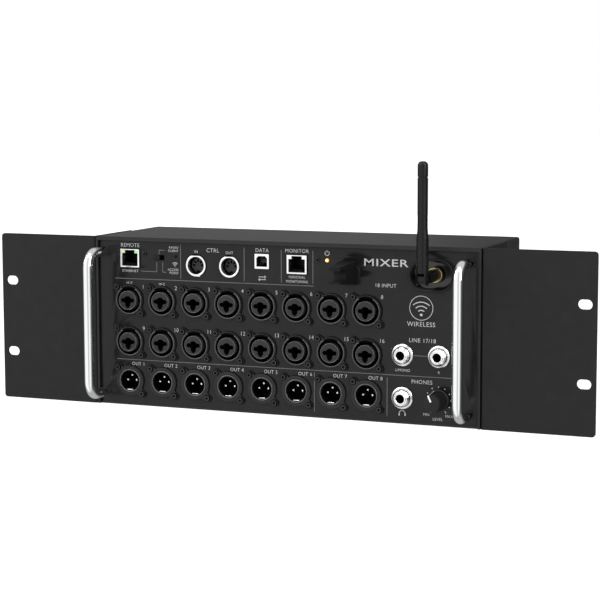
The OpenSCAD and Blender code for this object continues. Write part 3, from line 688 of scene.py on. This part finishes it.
def output_shell():
    body = flange(8.9)
    # The lip takes the third material, a painted highlight.
    body.stamp(lip(OUTPUT_CUP_R, OUTPUT_CUP_R + 1, 0.1, 2.0, None, 48, 2))
    # The cup and the key take the second material, painted shade.
    cup = [(0, OUTPUT_FLOOR), (OUTPUT_CUP_R, OUTPUT_FLOOR), (OUTPUT_CUP_R, 1.2), (9.0, 1.2),
           (OUTPUT_BARREL_R, 2.0), (OUTPUT_BARREL_R, SOCKET_BACK), (0, SOCKET_BACK)]
    body.stamp(turned(cup, 48, None, 1))
    key = block((-1.5, 1.0, 6.9), (1.5, 15, 8.3), 0.25, 1)
    body.stamp(key)
    return body


def contact_pin():
    dome = [
        (PIN_R * math.sin(math.radians(a)), PIN_DOME_Y - PIN_R * math.cos(math.radians(a)))
        for a in range(0, 91, 15)
    ]
    return turned([*dome, (PIN_R, OUTPUT_FLOOR), (0, OUTPUT_FLOOR)], 20)


def small_screw(head_r, front, back, recess_r):
    """A screw head with a six-lobe recess, on a plain round shank."""
    drive = radial(lambda a: recess_r * (1 + 0.16 * math.cos(math.radians(6 * a))), 36)
    top = sheet(circle(head_r, 32), [drive], front, front + 0.6, 0.28)
    rest = turned([(0, front + 0.6), (head_r, front + 0.6), (head_r, back), (0, back)], 32)
    # The bottom of the recess takes the second material, painted shade.
    well = recess_r * 1.2
    bottom = [(0, front + 0.5), (well, front + 0.5), (well, front + 0.59), (0, front + 0.59)]
    return joined(top, rest, turned(bottom, 18, None, 1))


def audio_sockets():
    shells = Shape()
    inserts = Shape()
    screws = Shape()
    outputs = Shape()
    pins = Shape()
    tabs = Shape()
    shell = input_shell()
    insert = input_insert()
    screw = small_screw(2.15, -0.3, 4.6, 0.95)
    output = output_shell()
    pin = contact_pin()
    tab = block((-2.5, 1.1, -7.55), (2.5, 16.4, -6.85), 0.15)
    for place in INPUTS:
        shells.stamp(shell, place)
        inserts.stamp(insert, place)
    for x, z in OUTPUTS:
        outputs.stamp(output, (x, z))
        tabs.stamp(tab, (x, z))
        for dx, dz in ((-PIN_OFFSET, 0), (PIN_OFFSET, 0), (0, PIN_OFFSET)):
            pins.stamp(pin, (x + dx, z + dz))
    for place in INPUTS + OUTPUTS:
        for spot in lug_spots(place):
            screws.stamp(screw, spot)
    # Second material in each list: painted shade in the holes; third: painted highlight on the rims.
    shell_finish = [SOCKET_BLACK, PAINTED_SHADE_BLACK, SOCKET_RIM_PAINTED_HIGHLIGHT]
    insert_finish = [INSERT_GREY, PAINTED_SHADE_BLACK, SOCKET_RIM_PAINTED_HIGHLIGHT]
    make("input_socket_shells", shells, shell_finish, ["input_shells"])
    make("input_socket_inserts", inserts, insert_finish, ["input_inserts"])
    make("output_socket_shells", outputs, shell_finish, ["output_shells"])
    make("output_socket_pins", pins, [SILVER], ["output_pins"])
    make("output_socket_tabs", tabs, [SILVER], ["output_ground_tabs"])
    make("socket_screws", screws, [SCREW_BLACK, PAINTED_SHADE_BLACK], ["connector_screws"])


# Data ports, round sockets, switch and lamps

def port_mouth(extra):
    """The port's opening, with the step for the plug's latch on top."""
    half = PORT_OPEN_W / 2 + extra
    key = PORT_KEY_W / 2 + extra
    low = PORT_OPEN_LOW - extra
    high = PORT_OPEN_HIGH + extra
    top = PORT_KEY_HIGH + extra
    return [(-half, low), (half, low), (half, high), (key, high),
            (key, top), (-key, top), (-key, high), (-half, high)]


def data_port(name, place, lamps):
    holes = [port_mouth(0.5)]
    if lamps:
        holes += [box_hole((s * PORT_LAMP_X, PORT_LAMP_Z), 2.4, 1.7, 0.2) for s in (-1, 1)]
    outline = rounded_box(PORT_W - 0.9, PORT_H - 0.3, 0.5, (0, 0), 4)
    frame_plate = sheet(outline, holes, PORT_FRONT, PORT_BACK, 0.2)
    liner = sheet(port_mouth(0.48), [port_mouth(0)], PORT_FRONT + 0.8, PORT_BACK - 2, 0.1)
    floor = sheet(port_mouth(0.48), [], PORT_BACK - 2, PORT_BACK, 0.1)
    comb = Shape()
    contacts = Shape()
    for i in range(8):
        x = CONTACT_PITCH * (i - 3.5)
        contacts.stamp(block((x - 0.22, 7.0, -4.6), (x + 0.22, 13.0, -4.1), 0.08, 1))
    for i in range(9):
        x = CONTACT_PITCH * (i - 4)
        comb.stamp(block((x - 0.14, 3.4, PORT_OPEN_LOW), (x + 0.14, 14.0, -3.7), 0.05))
    for s in (-1, 1):
        comb.stamp(block((s * 6.0 - 0.5, 3.0, -1.2), (s * 6.0 + 0.5, 8.0, 1.6), 0.2))
    shell = Shape().stamp(frame_plate, place)
    inner = Shape().stamp(joined(liner, floor, comb, contacts), place)
    make(f"{name}_frame", shell, [TIN], [f"{name}_shell"])
    make(f"{name}_inside", inner, [PORT_BLACK, GOLD], [f"{name}_body"])


def port_lamps():
    """The network port's two lit windows: yellow on the left, green on the right."""
    windows = Shape()
    for number, side in enumerate((-1, 1)):
        x = side * PORT_LAMP_X
        low = (x - 1.15, 1.1, PORT_LAMP_Z - 0.83)
        high = (x + 1.15, 6.2, PORT_LAMP_Z + 0.83)
        windows.stamp(block(low, high, 0.2, number))
    shape = Shape().stamp(windows, REMOTE_PORT)
    make("port_lamp_windows", shape, [YELLOW_LENS, GREEN_LENS], ["remote_port_lamps"])


def flat_top_circle(radius, flat, steps=64):
    return [(x, min(z, flat)) for x, z in circle(radius, steps)]


def pin_way(angle):
    """A hole for one pin, stretched along the radius."""
    c = math.cos(math.radians(angle))
    s = math.sin(math.radians(angle))
    oval = [(3.45 + 1.25 * u, 0.8 * v) for u, v in circle(1, 20)]
    return [(out * c - side * s, out * s + side * c) for out, side in oval]


def round_socket(name, place):
    """Metal ring with a flat top round a five-pole insert."""
    front = PORT_FRONT - 0.2
    ring = sheet(flat_top_circle(DIN_R, DIN_FLAT), [circle(DIN_BORE_R, 48)], front, PORT_BACK, 0.45)
    notch = [(x, z) for x, z in circle(DIN_BOSS_R, 60) if not (abs(x) < 1.3 and z < 0)]
    start = next(i for i, (x, z) in enumerate(notch) if x > 0 and z < 0 and abs(x) < 1.9)
    notch = notch[start:] + notch[:start]
    notch += [(-1.3, -5.03), (-1.3, -4.0), (1.3, -4.0), (1.3, -5.03)]
    boss = sheet(notch, [pin_way(a) for a in range(0, 181, 45)], 5.6, DIN_BOSS_BACK, 0.15, 1)
    bed = turned([(0, DIN_BOSS_BACK), (DIN_BOSS_R, DIN_BOSS_BACK), (DIN_BOSS_R, 14),
                  (DIN_BED_R, 14), (DIN_BED_R, PORT_BACK), (0, PORT_BACK)], 48)
    shell = Shape().stamp(ring, place)
    insert = Shape().stamp(joined(boss, bed), place)
    make(f"{name}_ring", shell, [TIN], [f"{name}_shell"])
    make(f"{name}_boss", insert, [PORT_BLACK, INSERT_GREY], [f"{name}_insert"])


def computer_port():
    half_w = USB_OPEN_W / 2
    half_h = USB_OPEN_H / 2
    cut = 1.6
    mouth = [(-half_w, -half_h), (half_w, -half_h), (half_w, half_h - cut),
             (half_w - cut, half_h), (cut - half_w, half_h), (-half_w, half_h - cut)]
    case = sheet(rounded_box(USB_W, USB_H, 0.6, (0, 0), 4), [mouth], PORT_FRONT, PORT_BACK - 2, 0.25)
    lid = sheet(rounded_box(USB_W, USB_H, 0.6, (0, 0), 4), [], PORT_BACK - 2, PORT_BACK, 0.1)
    tongue = block((-2.8, 6.2, -1.6), (2.8, PORT_BACK - 2, 1.6), 0.3)
    for sx in (-1, 1):
        for sz in (-1, 1):
            low = (sx * 1.3 - 0.5, 8.8, sz * 1.66 - 0.1)
            high = (sx * 1.3 + 0.5, 15, sz * 1.66 + 0.1)
            tongue.stamp(block(low, high, 0.06, 1))
    # The walls of the metal mouth take the second material, port black: painted shade.
    case = joined(darkened(case, 6.2), lid)
    make("usb_case", Shape().stamp(case, USB), [TIN, PORT_BLACK], ["usb_shell"])
    make("usb_contacts", Shape().stamp(tongue, USB), [INSERT_GREY, GOLD], ["usb_tongue"])


def mode_lever():
    """Slide lever with grip ribs, at the left stop of its slot."""
    lever = block((-2.15, 1.4, -1.75), (2.15, 7.8, 1.75), 0.25)
    for x in (-1.5, -0.5, 0.5, 1.5):
        lever.stamp(block((x - 0.25, 1.0, -1.6), (x + 0.25, 1.7, 1.6), 0.12))
    place = (MODE_SWITCH[0] - 2, MODE_SWITCH[1])
    grip = Shape().stamp(lever, place)
    make("mode_lever_grip", grip, [LEVER_GREY], ["mode_switch_lever"], "mode_lever")


def lens(radius, bulge, back):
    dome = [
        (radius * math.sin(math.radians(a)), PANEL_Y - bulge * math.cos(math.radians(a)))
        for a in range(0, 91, 15)
    ]
    return turned([*dome, (radius, back), (0, back)], 32)


def lamps():
    status = Shape().stamp(lens(1.0, 0.8, 7), STATUS_LAMP)
    make("status_lens", status, [STATUS_LENS], ["status_lamp"])
    power = lens(1.45, 1.2, 7)
    core = turned([(0, 0.72), (0.55, 0.78), (0.75, 0.95), (0.4, 1.4), (0, 1.5)], 20, None, 1)
    power = Shape().stamp(joined(power, core), POWER_LAMP)
    make("power_lens", power, [AMBER_LENS, AMBER_CORE], ["power_lamp"])


def panel_screws():
    screws = Shape()
    for place in SMALL_SCREWS:
        screws.stamp(small_screw(1.7, PANEL_Y - 0.7, 7.8, 0.9), place)
    # The screw recesses take the second material, painted shade.
    make("small_panel_screws", screws, [SCREW_BLACK, PAINTED_SHADE_BLACK], ["panel_screws"])


# Jacks and knob

def jack_nuts():
    """Stepped round nut and the face of the threaded bush."""
    nut = turned([(4.52, PANEL_Y), (8.15, PANEL_Y), (8.3, 1.8), (8.3, 1.35), (8.1, 1.1), (7.5, 0.7),
                  (7.0, 0.55), (6.9, 0.3), (6.7, -1.3), (6.4, -1.75), (5.6, -2.6), (5.3, -3.0),
                  (5.0, -3.2), (4.52, -3.2)], 64)
    bore = JACK_BORE_R + 0.02
    rim = JACK_BUSH_R + 0.05
    bush = turned([(bore, 1.0), (bore, JACK_FRONT - 0.1), (bore + 0.2, JACK_FRONT - 0.35),
                   (rim - 0.3, JACK_FRONT - 0.35), (rim, JACK_FRONT), (rim, 1.0)], 64)
    nuts = Shape()
    for place in JACKS:
        nuts.stamp(nut, place)
        nuts.stamp(bush, place)
    make("jack_ring_nuts", nuts, [NUT_CHROME], ["jack_nuts"])


def level_knob():
    """Tapered knob with a skirt, and a white pointer on its face and side."""
    profile = [(0, KNOB_FRONT), (KNOB_FACE_R - 0.8, KNOB_FRONT), (KNOB_FACE_R - 0.25, KNOB_FRONT + 0.2),
               (KNOB_FACE_R, KNOB_FRONT + 0.7), (7.2, -1.2), (7.4, 0.0), (KNOB_R - 0.15, 0.35),
               (KNOB_R, 0.6), (KNOB_R, 1.25), (KNOB_R - 0.15, 1.4), (6.2, 1.4), (6.2, -3.6),
               (3.2, -3.6), (3.2, -10.9), (0, -10.9)]
    knob = turned(profile, 72)
    grip_count = 36
    for i in range(grip_count):
        rib = loft([(KNOB_FRONT + 1.2, rounded_box(0.5, 0.3, 0.12, (KNOB_FACE_R + 0.05, 0), 2)),
                    (-1.6, rounded_box(0.7, 0.34, 0.12, (7.15, 0), 2))])
        knob.stamp(rib.rotated(360 * i / grip_count + 5))
    body = Shape().stamp(knob, KNOB)
    make("knob_moulding", body, [KNOB_BLACK], ["level_knob"], "level_control")
    half = 0.6
    outside = [(1.4, KNOB_FRONT - 0.12), (KNOB_FACE_R - 0.5, KNOB_FRONT - 0.12),
               (KNOB_FACE_R + 0.12, KNOB_FRONT + 0.6), (7.32, -1.2), (7.5, -0.1)]
    inside = [(r - 0.5, y + 0.5) for r, y in outside]
    points = []
    for r, y in outside + inside[::-1]:
        points += [(-half, y, r), (half, y, r)]
    count = len(outside) * 2
    faces = []
    for i in range(count):
        after = (i + 1) % count
        faces.append([2 * i, 2 * i + 1, 2 * after + 1, 2 * after])
    for i in range(len(outside) - 1):
        j = count - 1 - i
        faces.append([2 * i, 2 * (i + 1), 2 * (j - 1), 2 * j])
        faces.append([2 * i + 1, 2 * j + 1, 2 * (j - 1) + 1, 2 * (i + 1) + 1])
    line = Shape().stamp(Shape().add(points, faces).rotated(KNOB_REST_DEG), KNOB)
    make("pointer_line", line, [POINTER_WHITE], ["knob_pointer"], "level_control")


# Antenna

def antenna_cup():
    """Dished cup with a rounded lip."""
    def ring(grow, y):
        return y, stadium(CUP_W + 2 * grow, CUP_H + 2 * grow)
    wall = CUP_WALL
    outside = [ring(wall, CUP_BACK), ring(wall, PANEL_Y), ring(wall + 0.8, PANEL_Y)]
    lip_rings = [ring(wall + 0.8, PANEL_Y - 0.5), ring(wall + 0.55, PANEL_Y - 0.8),
                 ring(wall + 0.1, PANEL_Y - 0.9), ring(wall - 0.5, PANEL_Y - 0.85),
                 ring(0.15, PANEL_Y - 0.5)]
    inside = [ring(0, PANEL_Y), ring(0, CUP_FLOOR - 1.6), ring(-0.35, CUP_FLOOR - 0.6),
              ring(-1.2, CUP_FLOOR - 0.05), ring(-2.2, CUP_FLOOR)]
    rings = outside + lip_rings + inside
    cup = Shape().stamp(loft(rings), CUP)
    # The lip's faces, in front of lip_y, take the darker, matte port black of the second material: painted
    # shade round the rim.
    lip_y = PANEL_Y - 0.4
    cup.finish = [int(min(cup.points[corner][1] for corner in face) < lip_y) for face in cup.faces]
    make("cup_moulding", cup, [CUP_BLACK, PORT_BLACK], ["antenna_cup"])


def antenna_coupling():
    """Knurled gold coupling ring."""
    teeth = 36
    steps = teeth * 4

    def knurl(radius, depth):
        def reach(angle):
            wave = 0.5 + 0.5 * math.cos(math.radians(angle * teeth))
            return radius - depth * (1 - min(1, 1.6 * wave))
        return radial(reach, steps)

    bore = circle(3.2, steps)
    edge = circle(5.5, steps)
    smooth = knurl(5.9, 0.0)
    toothed = knurl(6.1, 0.35)
    rings = [(4.5, bore), (4.5, edge), (4.75, smooth), (5.05, toothed),
             (8.05, toothed), (8.35, smooth), (8.6, edge), (8.6, bore)]
    shape = Shape().stamp(loft(rings, 0, True), ANTENNA)
    make("coupling_ring", shape, [GOLD], ["antenna_coupling"], "antenna_base")


# Marks printed on the panel

def stroke(path, width=0.5, closed=False):
    """A printed line of one width along points in the X-Z plane."""
    count = len(path)
    sides = []
    for i, point in enumerate(path):
        before = path[i - 1] if closed or i else point
        after = path[(i + 1) % count] if closed or i < count - 1 else point
        a = Vector(point) - Vector(before)
        b = Vector(after) - Vector(point)
        a = a.normalized() if a.length > 0 else b.normalized()
        b = b.normalized() if b.length > 0 else a
        middle = (a + b).normalized()
        across = Vector((-middle[1], middle[0]))
        reach = width / 2 / max(0.35, across.dot(Vector((-a[1], a[0]))))
        sides.append((Vector(point) + across * reach, Vector(point) - across * reach))
    points = []
    for left, right in sides:
        for side in (left, right):
            points += [(side[0], INK_FRONT, side[1]), (side[0], INK_BACK, side[1])]
    faces = []
    for i in range(count if closed else count - 1):
        a = 4 * i
        b = 4 * ((i + 1) % count)
        faces += [[a, b, b + 2, a + 2], [a + 1, a + 3, b + 3, b + 1],
                  [a, a + 1, b + 1, b], [a + 2, b + 2, b + 3, a + 3]]
    if not closed:
        last = 4 * (count - 1)
        faces += [[0, 2, 3, 1], [last, last + 1, last + 3, last + 2]]
    return Shape().add(points, faces)


def dot(place, radius):
    disc = turned([(0, INK_FRONT), (radius, INK_FRONT), (radius, INK_BACK), (0, INK_BACK)], 16)
    return Shape().stamp(disc, place)


def lettering(text, x, z, height, align="CENTER", width=0.95, weight=-0.006):
    """A word whose capitals are this high, standing on z."""
    curve = bpy.data.curves.new("word", "FONT")
    curve.body = text
    curve.size = height / 0.73
    curve.align_x = align
    curve.resolution_u = 3
    curve.space_character = 1.1
    curve.offset = weight * height
    curve.extrude = (INK_BACK - INK_FRONT) / 2
    word = from_curve(curve, (INK_FRONT + INK_BACK) / 2)
    word.points = [(x + px * width, py, z + pz) for px, py, pz in word.points]
    return word


def panel_words():
    words = Shape()
    for number, (x, z) in enumerate(INPUTS, 1):
        words.stamp(lettering(str(number), x + 12, z + 9.3, 3.1))
    for x in COLUMN_X[:2]:
        words.stamp(lettering("HI-Z", x, INPUT_ROWS_Z[0] + 12.6, 1.9))
    for number, (x, z) in enumerate(OUTPUTS, 1):
        words.stamp(lettering(f"OUT {number}", x + 7, z + 12.1, 2.8))
    for text, x, z, height in (
        ("REMOTE", -127.4, 58.4, 3.1), ("ETHERNET", -127.4, 38.7, 2.1), ("IN", -70.8, 55.4, 2.2),
        ("OUT", -42.8, 55.4, 2.2), ("CTRL", -56.8, 56.3, 3.2), ("DATA", -15.8, 57.8, 3.0),
        ("MONITOR", 12.65, 58.2, 3.0), ("PERSONAL", 12.65, 38.8, 2.0), ("MONITORING", 12.65, 35.5, 2.0),
        ("LINE 17/18", 111.7, -4.9, 3.2), ("L/MONO", 96.6, -27.1, 2.1), ("R", 124.5, -27.4, 2.1),
        ("PHONES", 111.5, -35.6, 3.1), ("MIN", 115.0, -59.0, 2.0), ("MAX", 132.5, -59.4, 2.0),
        ("LEVEL", 123.8, -62.2, 2.2), ("WIRELESS", 110.7, 7.0, 3.6), ("18 INPUT", 83.0, 34.8, 2.9),
    ):
        words.stamp(lettering(text, x, z, height))
    words.stamp(lettering("MIXER", 83.0, 50.4, 5.6, width=1.5, weight=0.01))
    for text, x, z, height in (("RADIO", -85.8, 58.1, 1.9), ("CLIENT", -85.8, 55.5, 1.9),
                               ("ACCESS", -85.8, 40.9, 1.9), ("POINT", -85.8, 38.4, 1.9)):
        words.stamp(lettering(text, x, z, height, "RIGHT"))
    return words


def waves(centre, radii, width, half_angle=45):
    """Radio waves over a dot."""
    mark = dot(centre, radii[0] * 0.3)
    for radius in radii:
        mark.stamp(stroke(arc(radius, 90 - half_angle, 90 + half_angle, 16, centre), width))
    return mark


def panel_icons():
    """Small signs in the same ink as the words."""
    icons = waves(WAVES_SMALL, (1.0, 2.0, 3.0), 0.4)
    x = POWER_LAMP[0]
    icons.stamp(stroke(arc(1.7, 125, 415, 24, (x, POWER_SIGN_Z)), INK_LINE))
    icons.stamp(stroke([(x, POWER_SIGN_Z + 0.5), (x, POWER_SIGN_Z + 2.3)], INK_LINE))
    x, z = PHONES_SIGN
    icons.stamp(stroke(arc(2.3, 0, 180, 18, PHONES_SIGN), INK_LINE))
    for side in (-1, 1):
        icons.stamp(stroke([(x + side * 2.3, z + 0.1), (x + side * 2.3, z - 1.6)], 0.9))
    for direction, z in ((1, 38.9), (-1, 36.9)):
        tip = USB[0] + direction * 3
        barb = tip - direction * 1.2
        icons.stamp(stroke([(USB[0] - direction * 3, z), (tip, z)], INK_LINE))
        icons.stamp(stroke([(barb, z + 1), (tip, z), (barb, z - 1)], INK_LINE))
    for degrees in range(-30, 181, 30):
        icons.stamp(dot(arc(TICK_R, degrees, degrees, 1, KNOB)[0], INK_LINE))
    for degrees in (238, 302):
        inner = arc(9.2, degrees, degrees, 1, KNOB)[0]
        outer = arc(11.2, degrees, degrees, 1, KNOB)[0]
        icons.stamp(stroke([inner, outer], 0.5))
    icons.stamp(waves(WAVES_LARGE, (3.4, 6.4, 9.4), 0.7, 42))
    icons.stamp(stroke(circle(8.9, 64, WAVES_RING), INK_LINE, True))
    return icons


def panel_lines():
    """Thin grey lines that part the panel into fields, and brackets round the small controls."""
    lines = Shape()
    for path in (
        [(-140.9, 33.55), (26.2, 33.55)],
        [(-140.0, -30.15), (134.7, -30.15)],
        [(-84.0, 35.05), (-84.0, 61.25)],
        [(-30.6, 35.25), (-30.6, 60.55)],
        [(-0.1, 35.25), (-0.1, 59.95)],
        [(25.5, 35.25), (25.5, 60.15)],
        [(26.6, -61.65), (26.6, -31.65)],
        [(84.5, -61.35), (84.5, -32.05)],
        [(105.0, -14.85), (116.0, -14.85)],
        [(-118.0, 39.75), (-104.5, 39.75), (-104.5, 47.3)],
        [(-102.3, 53.4), (-102.3, 56.6), (-97.7, 56.6)],
        [(-99.4, 47.3), (-99.4, 39.6), (-96.4, 39.6)],
    ):
        lines.stamp(stroke(path, 0.5))
    return lines


def panel_marks():
    make("panel_words", joined(panel_words(), panel_icons()), [INK_WHITE], ())
    make("panel_lines", panel_lines(), [INK_GREY], ())


# CAD pieces that keep their own shape

def dress_cad_pieces():
    finishes = {
        "chassis_base": (COVER_PAINT, 0), "top_cover": (COVER_PAINT, 0),
        "rear_panel": (REAR_PAINT, 0), "ear_left": (EAR_PAINT, 0.35),
        "ear_right": (EAR_PAINT, 0.35), "ear_screws": (SCREW_BLACK, 0.3),
        "cover_screws": (SCREW_BLACK, 0.3), "handle_bolts": (ZINC, 0.3),
        "mode_switch_body": (PORT_BLACK, 0.1),
        "line_jack_left": (JACK_PLASTIC, 0.2), "line_jack_right": (JACK_PLASTIC, 0.2),
        "phones_jack": (JACK_PLASTIC, 0.2), "level_shaft": (ZINC, 0.2),
        "level_pot": (ZINC, 0.3), "level_nut": (ZINC, 0.3),
        "antenna_connector": (GOLD, 0.2), "antenna_nut": (GOLD, 0.25),
        "antenna_collar": (WHIP_BLACK, 0.3), "antenna_pin": (ZINC, 0.15),
        "antenna_whip": (WHIP_BLACK, 0.25), "antenna_clip": (CLIP_BLACK, 0.4),
        "antenna_lead": (LEAD_BLACK, 0.1), "wireless_module": (BOARD_GREEN, 0.2),
        "mains_inlet": (PORT_BLACK, 0.35), "inlet_blades": (SILVER, 0.3),
        "power_switch_frame": (PORT_BLACK, 0.3), "power_rocker": (SOCKET_BLACK, 0.4),
        "socket_boards": (BOARD_GREEN, 0.2), "main_board": (BOARD_GREEN, 0.2),
        "power_supply_board": (BOARD_GREEN, 0.3), "board_standoffs": (BRASS, 0.2),
    }
    for node, (material, bevel) in finishes.items():
        dress(node, material, bevel)


# Camera, light and floor

def camera():
    """A long lens, a little above and to the right of the front."""
    azimuth = math.radians(CAMERA_AZIMUTH)
    elevation = math.radians(CAMERA_ELEVATION)
    roll = math.radians(CAMERA_ROLL)
    back = Vector((math.sin(azimuth) * math.cos(elevation),
                   -math.cos(azimuth) * math.cos(elevation), math.sin(elevation)))
    level = Vector((math.cos(azimuth), math.sin(azimuth), 0))
    upright = back.cross(level)
    right = math.cos(roll) * level + math.sin(roll) * upright
    up = math.cos(roll) * upright - math.sin(roll) * level
    lens_data = bpy.data.cameras.new("camera")
    lens_data.lens = CAMERA_LENS
    lens_data.sensor_width = 36
    lens_data.clip_end = 50
    eye = bpy.data.objects.new("camera", lens_data)
    turn = Matrix((right, up, back)).transposed().to_4x4()
    eye.matrix_world = Matrix.Translation(CAMERA_PLACE) @ turn
    bpy.context.scene.collection.objects.link(eye)
    bpy.context.scene.camera = eye


def soft_box(name, azimuth, elevation, distance, width, height, watts, glossy=True):
    """A large area light that looks at the middle of the unit."""
    data = bpy.data.lights.new(name, "AREA")
    data.shape = "RECTANGLE"
    data.size = width
    data.size_y = height
    data.energy = watts
    a = math.radians(azimuth)
    e = math.radians(elevation)
    towards = Vector((math.sin(a) * math.cos(e), -math.cos(a) * math.cos(e), math.sin(e)))
    box = bpy.data.objects.new(name, data)
    box.location = towards * distance
    box.rotation_euler = towards.to_track_quat("Z", "Y").to_euler()
    box.visible_camera = False
    box.visible_glossy = glossy
    bpy.context.scene.collection.objects.link(box)


def world():
    """White as a backdrop. As light: bright in front, above and below, dim behind the unit,
    and at 0.6 in a fixed upright strip round the camera's first heading, like a dark card
    beside a studio camera. The strip stays where it is in every view."""
    sky = bpy.data.worlds.new("studio")
    sky.use_nodes = True
    nodes = sky.node_tree.nodes
    links = sky.node_tree.links
    nodes.clear()
    out = nodes.new("ShaderNodeOutputWorld")
    mix = nodes.new("ShaderNodeMixShader")
    path = nodes.new("ShaderNodeLightPath")
    seen = nodes.new("ShaderNodeBackground")
    seen.inputs["Color"].default_value = (1, 1, 1, 1)
    light = nodes.new("ShaderNodeBackground")
    place = nodes.new("ShaderNodeTexCoord")
    axes = nodes.new("ShaderNodeSeparateXYZ")
    links.new(place.outputs["Generated"], axes.inputs["Vector"])

    def ramp(source, start, end, low, high):
        node = nodes.new("ShaderNodeMapRange")
        node.interpolation_type = "SMOOTHSTEP"
        node.inputs["From Min"].default_value = start
        node.inputs["From Max"].default_value = end
        node.inputs["To Min"].default_value = low
        node.inputs["To Max"].default_value = high
        links.new(source, node.inputs["Value"])
        return node.outputs["Result"]

    def math_node(operation, first, second):
        node = nodes.new("ShaderNodeMath")
        node.operation = operation
        for socket, value in zip(node.inputs, (first, second)):
            if isinstance(value, float):
                socket.default_value = value
            else:
                links.new(value, socket)
        return node.outputs["Value"]

    front_to_back = ramp(axes.outputs["Y"], -0.6, 0.05, 1.4, 0.12)
    overhead = ramp(axes.outputs["Z"], 0.35, 0.75, 0.0, 0.85)
    ahead = math_node("MULTIPLY", axes.outputs["Y"], -1.0)
    heading = math_node("ARCTAN2", axes.outputs["X"], ahead)
    from_strip = math_node("SUBTRACT", heading, math.radians(CAMERA_AZIMUTH))
    off_strip = math_node("ABSOLUTE", from_strip, 0.0)
    strip = ramp(off_strip, 0.2, 0.34, 0.6, 1.0)
    underneath = ramp(axes.outputs["Z"], -0.8, -0.3, 0.6, 0.0)
    above_or_below = math_node("MAXIMUM", overhead, underneath)
    strength = math_node("MULTIPLY", math_node("MAXIMUM", front_to_back, above_or_below), strip)
    links.new(strength, light.inputs["Strength"])
    links.new(path.outputs["Is Camera Ray"], mix.inputs["Fac"])
    links.new(light.outputs["Background"], mix.inputs[1])
    links.new(seen.outputs["Background"], mix.inputs[2])
    links.new(mix.outputs["Shader"], out.inputs["Surface"])
    bpy.context.scene.world = sky
    bpy.context.scene.view_settings.view_transform = "Standard"


def floor():
    """A wide pale floor under the unit."""
    level = bounds_after_load[0][2]
    size = 8.0
    work = bmesh.new()
    quarters = ((-1, -1), (1, -1), (1, 1), (-1, 1))
    work.faces.new([work.verts.new((sx * size, sy * size, level)) for sx, sy in quarters])
    mesh = bpy.data.meshes.new("floor")
    work.to_mesh(mesh)
    work.free()
    pale = surface("floor_pale", grey(0.4), (0.85, 0.95), grain=60, bump=0.01, mottle=0.01,
                   specular=0.05)
    mesh.materials.append(glowing(pale, (1, 1, 1), 0.8))
    ground = bpy.data.objects.new("floor", mesh)
    ground.visible_glossy = False
    bpy.context.scene.collection.objects.link(ground)


front_panel()
handles()
audio_sockets()
data_port("remote_port", REMOTE_PORT, True)
data_port("monitor_port", MONITOR_PORT, False)
port_lamps()
round_socket("din_in", DIN_IN)
round_socket("din_out", DIN_OUT)
computer_port()
mode_lever()
lamps()
panel_screws()
jack_nuts()
level_knob()
antenna_cup()
antenna_coupling()
panel_marks()
dress_cad_pieces()
camera()
world()
soft_box("key_right", 75, 30, 1.7, 0.6, 1.4, 14)
soft_box("key_left", -60, 35, 1.7, 0.6, 1.2, 10)
soft_box("top", 0, 75, 1.6, 1.4, 0.8, 8)
soft_box("rear_sheen", 210, 16, 2.2, 1.2, 0.9, 1.15)
soft_box("rear", 200, 3, 2.2, 1.6, 0.7, 12, glossy=False)
floor()
